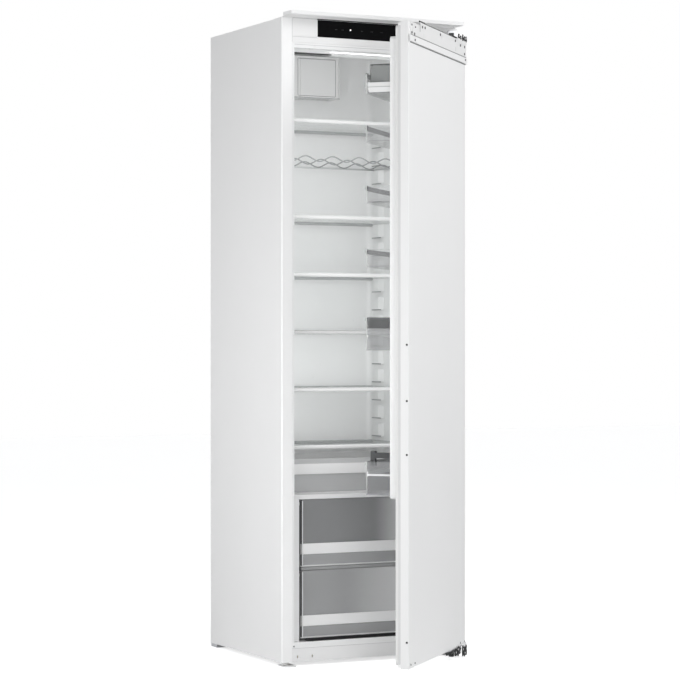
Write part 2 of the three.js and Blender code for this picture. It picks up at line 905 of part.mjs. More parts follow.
// Cover plate over the crispers with a front lip
function crisperCover() {
  const half = halfRoom - seat;
  const low = guideTop + seat;
  const y0 = frontY + guideFrontAt;
  const top = block(-half, half, y0, roomBackY - roomCorner - seat, low, coverTop);
  const lip = block(-drawerFlangeHalf, drawerFlangeHalf, y0, y0 + plate, coverTop - coverLip, coverTop);
  return join(top, lip);
}

// An open tray with rounded corners; flanges at its sides run on the guides
function crisper(half, flangeHalf2, depth, bottom, top) {
  const y0 = drawerY;
  const y1 = y0 + depth;
  const body = alongZ(roundedRect(-half, half, y0, y1, drawerCorner), bottom, top);
  const inner = roundedRect(-half + drawerWall, half - drawerWall, y0 + drawerWall, y1 - drawerWall,
    drawerCorner - drawerWall);
  const room1 = alongZ(inner, bottom + drawerWall, top + overrun);
  const flange = block(-flangeHalf2, flangeHalf2, y0 + drawerCorner, y1 - drawerCorner,
    top - drawerFlange, top - drawerFlange + drawerWall);
  return cut(join(body, flange), room1);
}

function upperDrawer() {
  const half = upperDrawerHalf;
  const y0 = shelfY;
  const y1 = y0 + upperDrawerDepth;
  const bottom = upperDrawerBottom;
  const body = alongZ(roundedRect(-half, half, y0, y1, drawerCorner), bottom, bottom + upperDrawerHeight);
  const inner = roundedRect(-half + drawerWall, half - drawerWall, y0 + drawerWall, y1 - drawerWall,
    drawerCorner - drawerWall);
  return cut(body, alongZ(inner, bottom + drawerWall, bottom + upperDrawerHeight + overrun));
}

// The pale strip across a drawer front, with a finger grip below
function drawerStrip(half, front, bottom) {
  const y1 = front - seat;
  const y0 = y1 - stripThickness;
  const top = bottom + stripHeight;
  const shape = outline([
    [y0 + sheet, bottom],
    [y1, bottom],
    [y1, top],
    [y0, top],
    [y0, bottom + sheet],
  ]);
  return alongX(shape, -half, half);
}

// Base panel with two vent slots
function frontBasePanel() {
  const y1 = frontY + basePanelSheet;
  const low = cabinetBottom;
  const high = flangeBottom - seat;
  const half = flangeHalf;
  const fold = frontY + basePanelFold;
  const path = [
    [fold, low],
    [frontY, low],
    [frontY, high],
  ];
  const body = alongX(bent(path, -basePanelSheet), -half, half);
  const vents = ventPlaces.map((x) => (
    block(x - half - ventWidth / 2, x - half + ventWidth / 2, frontY - overrun, y1 + overrun,
      low + ventRise, low + ventRise + ventHeight)
  ));
  return cut(body, ...vents);
}

// Foot bracket with a rounded toe and a levelling screw up to the case
function frontFoot(side) {
  const x0 = halfWidth - trimWall - footWidth;
  const x1 = halfWidth - trimWall;
  const y0 = frontY - footForward;
  const shape = roundedRect(Math.min(side * x0, side * x1), Math.max(side * x0, side * x1), y0,
    y0 + footLength, footScrew);
  const x = side * (x0 + x1) / 2;
  const y = frontY + footScrew + basePanelFold + basePanelSheet + seat;
  const screw = rod(footScrew, [x, y, footPlate / 2], [x, y, cabinetBottom - seat]);
  return join(alongZ(shape, 0, footPlate), screw);
}

// Refrigeration
function compressor() {
  const y = (bayY + backY) / 2;
  const base = cabinetBottom + basePlate + seat;
  const r = compressorRadius;
  const h = compressorHeight;
  const mid = h / 2;
  const profile = [
    [0, 0],
    [r * 0.55, 0],
    [r * 0.85, h * 0.1],
    [r * 0.97, h * 0.28],
    [r, mid - compressorSeam],
    [r + compressorSeam, mid - compressorSeam],
    [r + compressorSeam, mid + compressorSeam],
    [r, mid + compressorSeam],
    [r * 0.96, h * 0.78],
    [r * 0.8, h * 0.93],
    [r * 0.5, h],
    [0, h],
  ].map(([u, v]) => new THREE.Vector2(u, v));
  const pot = new THREE.LatheGeometry(profile, fineSides);
  pot.rotateX(Math.PI / 2);
  const shell = solid(pot).translate(compressorX, y, base + footScrew);
  const halfX = compressorFootLength / 2;
  const halfY = compressorFootWidth / 2;
  const shape = roundedRect(compressorX - halfX, compressorX + halfX, y - halfY, y + halfY, footScrew);
  const feet = alongZ(shape, base + footScrew / 2, base + footScrew + plate);
  const grommets = [[-1, -1], [-1, 1], [1, -1], [1, 1]].map(([sx, sy]) => {
    const gx = compressorX + sx * (halfX - footScrew);
    const gy = y + sy * (halfY - footScrew);
    return rod(footScrew * 0.8, [gx, gy, base], [gx, gy, base + footScrew], fineSides / 2);
  });
  const relay = block(compressorX - r - relaySize, compressorX - r + footScrew, y - relaySize, y + relaySize,
    base + mid - relaySize, base + mid + relaySize);
  const pipe = tube([
    [compressorX + r * 0.7, y + r * 0.5, base + h * 0.8],
    [compressorX + r * 0.9, y + r * 0.6, base + h * 0.95],
    [compressorX + r, y + r * 0.6, base + h * 1.1],
  ], pipeRadius, 6, wireSides + 2);
  return join(shell, feet, relay, pipe, ...grommets);
}

// A tube folded to and fro with round bends
function serpentine(halfWide, y, z0, pitch, runs, radius, sides) {
  const points = [];
  const bend = pitch / 2;
  const reach = halfWide - bend;
  for (let run = 0; run < runs; run += 1) {
    const way = run % 2 ? -1 : 1;
    const z = z0 + run * pitch;
    points.push([-way * reach, y, z]);
    points.push([way * reach, y, z]);
    if (run < runs - 1) {
      for (let i = 1; i < arcSteps + 1; i += 1) {
        const angle = i / (arcSteps + 1) * Math.PI;
        const out = way * (reach + bend * Math.sin(angle));
        points.push([out, y, z + bend - bend * Math.cos(angle)]);
      }
    }
  }
  return tube(points, radius, points.length - 1, sides, true);
}

function condenser() {
  const wall = backY - sheet;
  const y = wall + condenserGap;
  const coil = serpentine(condenserWidth / 2, y, condenserBottom, condenserPitch, condenserRuns,
    condenserTube, wireSides);
  const top = condenserBottom + condenserPitch * (condenserRuns - 1) + condenserStrap;
  const straps = condenserStraps.map((x) => {
    const low = condenserBottom - condenserStrap;
    const path = [
      [wall, low - condenserStrap],
      [wall, low],
      [y, low],
      [y, top],
      [wall, top],
      [wall, top + condenserStrap],
    ];
    return alongX(bent(path, -sheet * 1.5), x - condenserStrap / 2, x + condenserStrap / 2);
  });
  return join(coil, ...straps);
}

// Roll-bonded plate with its channel, foamed in behind the liner
function evaporator() {
  const half = evaporatorWidth / 2;
  const top = evaporatorBottom + evaporatorHeight;
  const back = evaporatorY;
  const board = block(-half, half, back - sheet, back, evaporatorBottom, top);
  const pitch = evaporatorHeight / evaporatorRuns;
  const coil = serpentine(half - pitch / 4, back, evaporatorBottom + pitch / 2, pitch, evaporatorRuns,
    evaporatorTube - sheet, wireSides);
  return join(board, coil);
}

// Door pieces, drawn in the door's own frame
function doorOuterPanel() {
  const shape = roundedRect(-doorWidth, 0, doorOut, doorPanBack + edgeRadius, edgeRadius);
  const whole = alongZ(shape, doorBottom, doorTop);
  const trimmed = block(-doorWidth - overrun, overrun, doorPanBack, doorPanBack + overrun,
    doorBottom - overrun, doorTop + overrun);
  const hollow = block(-doorWidth + sheet, -sheet, doorOut + sheet, doorPanBack + overrun,
    doorBottom + sheet, doorTop - sheet);
  return cut(whole, trimmed, hollow);
}

// Plan of the ring of dykes and of the pocket inside it
function dykePlan(inset, sill, corner) {
  return roundedRect(doorMiddle - dykeHalf + inset, doorMiddle + dykeHalf - inset,
    dykeBottom + sill, dykeTop - inset, corner);
}

function doorLiner() {
  const gap = sheet + seat;
  const core = block(-doorWidth + gap, -gap, doorOut + gap, doorLinerBack, doorBottom + gap, doorTop - gap);
  const rebate = cut(
    block(-doorWidth - overrun, overrun, doorPanBack + seat, doorLinerBack + overrun,
      doorBottom - overrun, doorTop + overrun),
    block(-doorWidth + flangeInset, -flangeInset, doorPanBack, doorLinerBack + overrun * 2,
      doorBottom + flangeInset, doorTop - flangeInset),
  );
  const pocketPlan = dykePlan(dykeWidth, dykeSill, dykeCorner - dykeWidth / 2);
  const ringPlan = dykePlan(0, 0, dykeCorner);
  ringPlan.holes.push(pocketPlan);
  const dykes = alongY(ringPlan, doorLinerBack - sheet, hingeForward + dykeReach);
  const pocket = alongY(pocketPlan, doorLinerBack - dykeRecess, doorLinerBack + overrun);
  const lugs = [];
  binHeights.forEach(([, top]) => {
    const under = top - binRim - seat;
    [-1, 1].forEach((side) => {
      const ends = [side * (dykeInner + sheet), side * (dykeInner - lugReach)];
      const x0 = doorMiddle + Math.min(...ends);
      const x1 = doorMiddle + Math.max(...ends);
      lugs.push(block(x0, x1, lugY, lugY + lugDepth, under - lugHeight, under));
    });
  });
  return join(cut(core, rebate, pocket), dykes, ...lugs);
}

function doorGasket() {
  const shape = roundedRect(-doorWidth + gasketInset, -gasketInset, doorBottom + gasketInset,
    doorTop - gasketInset, gasketWidth / 2);
  const hole = gasketInset + gasketWidth;
  shape.holes.push(roundedRect(-doorWidth + hole, -hole, doorBottom + hole, doorTop - hole,
    gasketWidth / 3));
  return alongY(shape, doorLinerBack + seat, hingeForward - seat);
}

// Plan of a bin: square at the back, rounded at the front, with a bowed front wall
function binPlan(grow, bow) {
  const x0 = doorMiddle - binHalf - grow;
  const x1 = doorMiddle + binHalf + grow;
  const y0 = binBack - grow;
  const y1 = binFront + grow;
  const r = binCorner + grow;
  const shape = new THREE.Shape();
  shape.moveTo(x0, y0);
  shape.lineTo(x1, y0);
  shape.lineTo(x1, y1 - r);
  shape.quadraticCurveTo(x1, y1, x1 - r, y1);
  shape.quadraticCurveTo(doorMiddle, y1 + bow * 2, x0 + r, y1);
  shape.quadraticCurveTo(x0, y1, x0, y1 - r);
  return shape;
}

// The bin's walls lean out towards the top
function drafted(shape, z0, z1) {
  const options = { depth: z1 - z0, bevelEnabled: false, curveSegments: arcSteps };
  const geometry = new THREE.ExtrudeGeometry(shape, options);
  const place = geometry.attributes.position;
  for (let i = 0; i < place.count; i += 1) {
    const share = binDraftShare + (1 - binDraftShare) * place.getZ(i) / (z1 - z0);
    const x = doorMiddle + (place.getX(i) - doorMiddle) * (share + 1) / 2;
    const y = binBack + (place.getY(i) - binBack) * share;
    place.setXYZ(i, x, y, place.getZ(i) + z0);
  }
  return solid(geometry);
}

function doorBin(bottom, top, bow) {
  const wall = drafted(binPlan(0, bow), bottom, top);
  const rim = alongZ(binPlan(binRimReach, bow), top - binRim, top);
  const hollow = drafted(binPlan(-binWall, bow), bottom + binWall, top);
  const mouth = alongZ(binPlan(-binWall, bow), top - sheet, top + overrun);
  return cut(join(wall, rim), hollow, mouth);
}

// The top bin's front wall stands up before the lid
function dairyBin(bottom, top) {
  const raised = cut(
    alongZ(binPlan(0, binBow), top - sheet, dairyFrontTop),
    alongZ(binPlan(-binWall, binBow), bottom, dairyFrontTop + overrun),
    block(-doorWidth, 0, -binFront, lidFront + seat, bottom, dairyFrontTop + overrun),
  );
  return join(doorBin(bottom, top, binBow), raised);
}

// Lid of the top bin, turning on stubs near the liner
function dairyLid() {
  const bottom = binHeights[0][1] + seat;
  const axleY = binBack + lidHinge;
  const axleZ = lidTop - lidHinge;
  const plan = (inset) => roundedRect(doorMiddle - lidHalf + inset, doorMiddle + lidHalf - inset,
    binBack + inset, lidFront - inset, lidCorner - inset);
  const shell = alongZ(plan(0), bottom, lidTop);
  const hollow = alongZ(plan(lidWall), bottom - overrun, lidTop - lidWall);
  const behind = block(-doorWidth, 0, binBack - overrun, axleY - lidHinge / 2,
    bottom - overrun, lidTop + overrun);
  const heel = block(-doorWidth, 0, binBack - overrun, axleY + lidHinge,
    bottom - overrun, axleZ - lidHinge);
  const pins = [-1, 1].map((side) => (
    rod(lidPinRadius, [doorMiddle + side * (lidHalf - lidWall), axleY, axleZ],
      [doorMiddle + side * (dykeInner - seat), axleY, axleZ], fineSides / 2)
  ));
  return join(cut(shell, hollow, behind, heel), ...pins);
}

// Clip that slides along the bottle bin's front wall, with two fingers across the bin
function bottleHolder() {
  const top = binHeights[binHeights.length - 1][1];
  const x0 = -holderAt - holderWidth / 2;
  const x1 = -holderAt + holderWidth / 2;
  const outer = binFront + binRimReach + seat;
  const inner = binFront - binWall * 2 - seat;
  const clip = cut(
    block(x0, x1, inner - holderWall, outer + holderWall, top - holderLeg, top + holderRise),
    block(x0 - overrun, x1 + overrun, inner, outer, top - holderLeg - overrun, top + seat),
  );
  const low = top + holderFingerRise;
  const high = low + holderFingerHeight;
  const fingers = [x0, x1 - holderWall].map((x) => (
    block(x, x + holderWall, inner - holderReach, inner, low, high)
  ));
  return join(clip, ...fingers);
}

// Plate that carries the furniture panel, stepped at its free end
function panelBracket() {
  const y1 = doorOut - seat;
  const y0 = y1 - bracketSheet;
  const step = -doorWidth + bracketStep;
  const shape = outline([
    [-doorWidth + bracketEnd, bracketBottom + seat],
    [0, bracketBottom + seat],
    [0, bracketTop],
    [step, bracketTop],
    [step, doorTop],
    [-doorWidth + bracketEnd, doorTop],
  ]);
  const body = alongY(shape, y0, y1);
  const slots = [bracketEnd * 2.5, bracketStep - bracketEnd, bracketStep * 1.4,
    doorWidth * 0.55, doorWidth * 0.8, doorWidth * 0.9].map((at, i) => {
    const x = -doorWidth + at;
    const z = i % 2 ? bracketTop - slotRun : bracketBottom + slotRun;
    const hole = roundedRect(x - slotHalf, x + slotHalf, z - slotRun / 2, z + slotRun / 2, slotHalf);
    return alongY(hole, y0 - overrun, y1 + overrun, 2);
  });
  return cut(body, ...slots);
}

// Rail under the bracket, a flat channel with folded edges
function panelRail() {
  const y = doorOut - seat;
  const low = railBottom;
  const high = railBottom + railHeight - seat;
  const wall = bracketSheet / 2;
  const path = [
    [y, low],
    [y - railDepth, low],
    [y - railDepth, high],
    [y, high],
  ];
  return alongX(bent(path, -wall), -doorWidth - railPast, railPast);
}

// Cabinet half of a hinge: a plate on the stile, a tongue and the pin that the arm turns on
function hingeBracket(low, high, armLow, above) {
  const x1 = halfWidth - hingePlateEdge;
  const x0 = x1 - hingePlateWidth;
  const y1 = frontY - seat;
  const flat = block(x0, x1, y1 - plate, y1, low, high);
  const pinX = hingeX - armPinX;
  const pinY = hingeY + armPinY;
  const nose = pinY - tongueNose;
  const tongue = outline([
    [x0, y1],
    [x0, nose + tongueNose],
    [x0 + tongueNose, nose],
    [x1 - tongueCorner, nose],
    [x1, nose + tongueCorner],
    [x1, y1],
  ]);
  const armHigh = armLow + armThickness;
  const tongueLow = above ? armHigh + tongueGap : armLow - tongueGap - plate;
  const leaf = alongZ(tongue, tongueLow, tongueLow + plate);
  const headRadius = armPinRadius * 1.4;
  const near = above ? armLow - seat : armHigh + seat;
  const tip = above ? near - plate : near + plate;
  const root = tongueLow + plate / 2;
  const rest = above ? armHigh + seat : armLow - seat;
  return join(
    flat,
    leaf,
    rod(armPinRadius, [pinX, pinY, root], [pinX, pinY, tip]),
    rod(headRadius, [pinX, pinY, near], [pinX, pinY, tip]),
    rod(headRadius, [pinX, pinY, root], [pinX, pinY, rest]),
  );
}

// Arm of a hinge, drawn from its pin along -X: an eye, a waist, a damper drum and a sliding shoe
function hingeArm(low, shoeEnd) {
  const shape = new THREE.Shape();
  shape.absarc(0, 0, armEye, -Math.PI / 2, Math.PI / 2, false);
  shape.lineTo(-armLength / 3, armWaist);
  shape.lineTo(-armLength, armEye);
  shape.absarc(-armLength, 0, armEye, Math.PI / 2, Math.PI * 1.5, false);
  shape.lineTo(-armLength / 3, -armWaist);
  const bar = alongZ(shape, low, low + armThickness, arcSteps * 2);
  const toDoor = Math.sign(shoeEnd - low);
  const drumX = -armLength + damperBack;
  const middle = low + armThickness / 2;
  const drum = rod(damperRadius, [drumX, 0, middle], [drumX, 0, middle - toDoor * damperHeight]);
  const shoe = rod(shoeRadius, [-armLength, 0, middle], [-armLength, 0, shoeEnd]);
  const pinEnd = shoeEnd + toDoor * shoePinLength;
  const pin = rod(shoePinRadius, [-armLength, 0, middle], [-armLength, 0, pinEnd]);
  const bore = rod(armPinRadius + seat, [0, 0, low - overrun], [0, 0, low + armThickness + overrun]);
  return cut(join(bar, drum, shoe, pin), bore);
}

// Where the arm's shoe stands over the door, in the door's frame
function shoePlace(opening) {
  const angle = THREE.MathUtils.degToRad(opening);
  const arm = THREE.MathUtils.degToRad(armShutAngle + armShare * opening);
  const tip = new THREE.Vector2(-armPinX - armLength * Math.cos(arm), armPinY - armLength * Math.sin(arm));
  return tip.rotateAround(new THREE.Vector2(0, 0), -angle);
}

// Door half of a hinge: a plate on the end of the door with the curved slot under the shoe
function hingeDoorPlate(face, outward) {
  const z0 = face + outward * seat;
  const z1 = z0 + outward * plate;
  const low = Math.min(z0, z1);
  const high = Math.max(z0, z1);
  const x0 = -doorPlateInset - doorPlateLength;
  const y0 = doorOut + doorPlateSet;
  const shape = roundedRect(x0, -doorPlateInset, y0, y0 + doorPlateDepth, doorPlateDepth / 4);
  const upper = [];
  const lower = [];
  for (let i = 0; i <= slideSteps; i += 1) {
    const place = shoePlace(doorSwing * i / slideSteps);
    const ahead = shoePlace(doorSwing * (i + 1) / slideSteps);
    const behind = shoePlace(doorSwing * (i - 1) / slideSteps);
    const run = ahead.sub(behind).normalize().multiplyScalar(slideHalf);
    const end = Math.sign(2 * i - slideSteps) * (i % slideSteps === 0 ? 1 : 0);
    place.addScaledVector(run, end);
    upper.push([place.x - run.y, place.y + run.x]);
    lower.push([place.x + run.y, place.y - run.x]);
  }
  const slide = alongZ(outline([...upper, ...lower.reverse()].reverse()), low - overrun, high + overrun);
  return cut(alongZ(shape, low, high), slide);
}

const openAngle = THREE.MathUtils.degToRad(doorOpen);
const armRestAngle = THREE.MathUtils.degToRad(armShutAngle + armShare * doorOpen);
const topShoeEnd = doorTop + seat * 2 + plate;
const bottomShoeEnd = doorBottom - seat * 2 - plate;

// Assembly
const fridge = new THREE.Group();
add(fridge, 'side_panel_left', sidePanel(-1), whiteSteel);
add(fridge, 'side_panel_right', sidePanel(1), whiteSteel);
add(fridge, 'top_panel', topPanel(), whiteSteel);
add(fridge, 'back_panel', backPanel(), zinc);
add(fridge, 'base_pan', basePan(), zinc);
add(fridge, 'insulation_foam', insulation(), foam);
add(fridge, 'inner_liner', innerLiner(), whitePlastic);
add(fridge, 'front_base_panel', frontBasePanel(), whiteSteel);
add(fridge, 'top_trim', topTrim(), whitePlastic);
add(fridge, 'control_fascia', controlFascia(), whitePlastic);
add(fridge, 'control_glass', controlGlass(), blackGlass);
add(fridge, 'lamp_lens', lampLens(), lampWhite);
add(fridge, 'fan_cover', fanCover(), whitePlastic);
add(fridge, 'fan_rotor', fanRotor(), greyPlastic);
shelfLevels.forEach((k, i) => {
  add(fridge, `shelf_glass_${i + 1}`, shelfPane(k), shelfGlass);
  add(fridge, `shelf_trim_${i + 1}`, shelfTrim(k), whitePlastic);
});
add(fridge, 'bottle_rack', bottleRack(), chrome);
add(fridge, 'drawer_guide_left', drawerGuide(-1), whitePlastic);
add(fridge, 'drawer_guide_right', drawerGuide(1), whitePlastic);
add(fridge, 'crisper_cover', crisperCover(), whitePlastic);
add(fridge, 'drawer_lower',
  crisper(drawerHalf, drawerFlangeHalf, lowerDrawerDepth, lowerDrawerBottom, lowerDrawerTop), clearPlastic);
add(fridge, 'drawer_lower_strip',
  drawerStrip(drawerHalf - sheet, drawerY, lowerDrawerBottom + lowerStripLift), whitePlastic);
add(fridge, 'drawer_middle',
  crisper(drawerHalf, drawerFlangeHalf, middleDrawerDepth, middleDrawerBottom, middleDrawerTop),
  clearPlastic);
add(fridge, 'drawer_middle_strip',
  drawerStrip(drawerHalf - sheet, drawerY, middleDrawerBottom + middleStripLift), whitePlastic);
add(fridge, 'drawer_upper', upperDrawer(), clearPlastic);
add(fridge, 'drawer_upper_strip',
  drawerStrip(upperDrawerHalf - sheet, shelfY, upperDrawerBottom + upperStripLift), whitePlastic);
add(fridge, 'compressor', compressor(), blackPaint);
add(fridge, 'condenser', condenser(), blackPaint);
add(fridge, 'evaporator', evaporator(), copper);
add(fridge, 'foot_front_left', frontFoot(-1), whitePlastic);
add(fridge, 'foot_front_right', frontFoot(1), whitePlastic);
add(fridge, 'hinge_top_bracket',
  hingeBracket(doorTop + hingePlateGap, cabinetTop - hingePlateDrop, armTopZ, true), zinc);
add(fridge, 'hinge_bottom_bracket',
  hingeBracket(cabinetBottom + hingeFootGap, doorBottom - hingeFootGap, armBottomZ, false), zinc);

// The arms stand on their pins
const arms = new THREE.Group();
arms.position.set(hingeX - armPinX, hingeY + armPinY, 0);
arms.rotation.z = armRestAngle;
add(arms, 'hinge_top_arm', hingeArm(armTopZ, topShoeEnd), darkSteel);
add(arms, 'hinge_bottom_arm', hingeArm(armBottomZ, bottomShoeEnd), darkSteel);
fridge.add(arms);

// The door turns about its hinge line
const door = new THREE.Group();
door.position.set(hingeX, hingeY, 0);
door.rotation.z = openAngle;
add(door, 'door_outer_panel', doorOuterPanel(), whiteSteel);
add(door, 'door_liner', doorLiner(), whitePlastic);
add(door, 'door_gasket', doorGasket(), rubber);
binHeights.forEach(([bottom, top], i) => {
  const bow = i === binHeights.length - 1 ? 0 : binBow;
  const bin = i ? doorBin(bottom, top, bow) : dairyBin(bottom, top);
  add(door, `door_bin_${i + 1}`, bin, clearPlastic);
});
add(door, 'dairy_lid', dairyLid(), clearPlastic);
add(door, 'bottle_holder', bottleHolder(), greyPlastic);
add(door, 'panel_bracket', panelBracket(), whiteSteel);
add(door, 'panel_rail', panelRail(), whiteSteel);
add(door, 'hinge_top_plate', hingeDoorPlate(doorTop, 1), zinc);
add(door, 'hinge_bottom_plate', hingeDoorPlate(doorBottom, -1), zinc);
fridge.add(door);

export default fridge;
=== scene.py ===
"""Looks of the built-in refrigerator: materials on its solids, small pieces, camera and lamps.

Lengths are in metres. Only the door's own coordinates are in millimetres: x along the door from
the hinge line, y towards the room inside, z up.
"""

import json
import math

import bpy
import bmesh
from mathutils import Matrix, Vector


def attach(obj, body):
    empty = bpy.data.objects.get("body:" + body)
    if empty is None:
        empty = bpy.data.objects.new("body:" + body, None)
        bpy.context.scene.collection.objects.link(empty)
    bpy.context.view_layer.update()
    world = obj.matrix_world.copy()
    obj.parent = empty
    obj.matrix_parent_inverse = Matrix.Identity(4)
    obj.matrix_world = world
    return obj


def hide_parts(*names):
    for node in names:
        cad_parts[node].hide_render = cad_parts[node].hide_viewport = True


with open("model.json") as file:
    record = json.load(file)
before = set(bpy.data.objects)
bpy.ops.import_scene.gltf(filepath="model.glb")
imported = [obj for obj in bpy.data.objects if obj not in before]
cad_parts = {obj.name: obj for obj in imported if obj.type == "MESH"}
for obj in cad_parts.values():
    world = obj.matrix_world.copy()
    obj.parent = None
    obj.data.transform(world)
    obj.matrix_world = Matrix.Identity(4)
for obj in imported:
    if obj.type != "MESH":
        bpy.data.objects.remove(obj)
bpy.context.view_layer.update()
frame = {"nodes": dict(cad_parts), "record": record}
scene = bpy.context.scene
nodes = frame["nodes"]

UP = Vector((0.0, 0.0, 1.0))
FORWARD = Vector((0.0, -1.0, 0.0))
EAST = Vector((1.0, 0.0, 0.0))

# The door at rest: its angle, the foot of its hinge line, and its own directions
OPEN = math.radians(44.5)
HINGE = Vector((0.2725, -0.270, 0.0))
ALONG = Vector((math.cos(OPEN), math.sin(OPEN), 0.0))
INWARD = Vector((-math.sin(OPEN), math.cos(OPEN), 0.0))
OUTWARD = -INWARD

# Where the small pieces start at the door's faces, in its own millimetres
DOOR_FACE = -8.0
BRACKET_FACE = -10.8
RAIL_FACE = -12.3
DOOR_EDGE = -540.0
DOOR_LINER_EDGE = -537.4

# Where the small pieces start at the case's faces: in depth, and to each side for the supports
STILE_FACE = -0.2399
SCREW_FACE = -0.2395
CONTROL_FACE = -0.2397
TOP_TRIM_FACE = -0.2385
FAN_COVER_FACE = 0.1470
DRAWER_FACE = -0.2200
SHELF_REAR = 0.1925
SUPPORT_FACE = 0.2262


def door_point(x, y, z):
    """A point of the door, from its own millimetres to metres in the room."""
    return HINGE + ALONG * (x / 1000) + INWARD * (y / 1000) + UP * (z / 1000)


def add_camera():
    data = bpy.data.cameras.new("camera")
    data.sensor_width = 36.0
    data.lens = 122.24
    data.clip_end = 60.0
    camera = bpy.data.objects.new("camera", data)
    camera.location = (-2.943, -5.8875, 0.8844)
    camera.rotation_euler = (math.radians(90), 0.0, math.radians(-26.75))
    scene.collection.objects.link(camera)
    scene.camera = camera


# Shader trees

# Sockets of the mix node, by what they take or give
SHARE = 0
PLAIN_A, PLAIN_B, PLAIN_OUT = 2, 3, 0
COLOR_A, COLOR_B, COLOR_OUT = 6, 7, 2


def new_material(name):
    mat = bpy.data.materials.new(name)
    mat.use_nodes = True
    mat.node_tree.nodes.clear()
    return mat, mat.node_tree


def link(tree, a, out, b, into):
    tree.links.new(a.outputs[out], b.inputs[into])


def plug(tree, value, socket):
    """Join another node's socket to this one, or set a plain value."""
    if isinstance(value, bpy.types.NodeSocket):
        tree.links.new(value, socket)
    else:
        socket.default_value = value


def mix_colors(tree, share, a, b):
    node = tree.nodes.new("ShaderNodeMix")
    node.data_type = "RGBA"
    plug(tree, share, node.inputs[SHARE])
    plug(tree, a, node.inputs[COLOR_A])
    plug(tree, b, node.inputs[COLOR_B])
    return node


def calculate(tree, operation, a, b):
    node = tree.nodes.new("ShaderNodeMath")
    node.operation = operation
    plug(tree, a, node.inputs[0])
    plug(tree, b, node.inputs[1])
    return node.outputs[0]


def noise(tree, coords, scale, detail=3.0, rough=0.5):
    node = tree.nodes.new("ShaderNodeTexNoise")
    node.inputs["Scale"].default_value = scale
    node.inputs["Detail"].default_value = detail
    node.inputs["Roughness"].default_value = rough
    link(tree, coords, "Object", node, "Vector")
    return node


def ramp(tree, source, low, high):
    """Two colours over a noise, each given as (place, colour)."""
    node = tree.nodes.new("ShaderNodeValToRGB")
    for element, (place, color) in zip(node.color_ramp.elements, (low, high)):
        element.position = place
        element.color = (*color, 1.0)
    link(tree, source, "Fac", node, "Fac")
    return node


def measures(tree, coords):
    """x, y and z in the door's directions, and wide and deep in the room's, all in metres."""
    offset = tree.nodes.new("ShaderNodeVectorMath")
    offset.operation = "SUBTRACT"
    offset.inputs[1].default_value = HINGE
    link(tree, coords, "Object", offset, 0)
    axes = {}
    for name, direction in (("x", ALONG), ("y", INWARD), ("z", UP)):
        dot = tree.nodes.new("ShaderNodeVectorMath")
        dot.operation = "DOT_PRODUCT"
        dot.inputs[1].default_value = direction
        tree.links.new(offset.outputs[0], dot.inputs[0])
        axes[name] = dot.outputs["Value"]
    split = tree.nodes.new("ShaderNodeSeparateXYZ")
    link(tree, coords, "Object", split, 0)
    axes["wide"] = split.outputs["X"]
    axes["deep"] = split.outputs["Y"]
    return axes


def region_mask(tree, axes, limits):
    """1 inside all the limits, 0 outside."""
    mask = None
    for name, (low, high) in limits.items():
        for operation, value in (("GREATER_THAN", low), ("LESS_THAN", high)):
            if value is None:
                continue
            test = calculate(tree, operation, axes[name], value)
            mask = test if mask is None else calculate(tree, "MULTIPLY", mask, test)
    return mask


# Materials

materials = {}


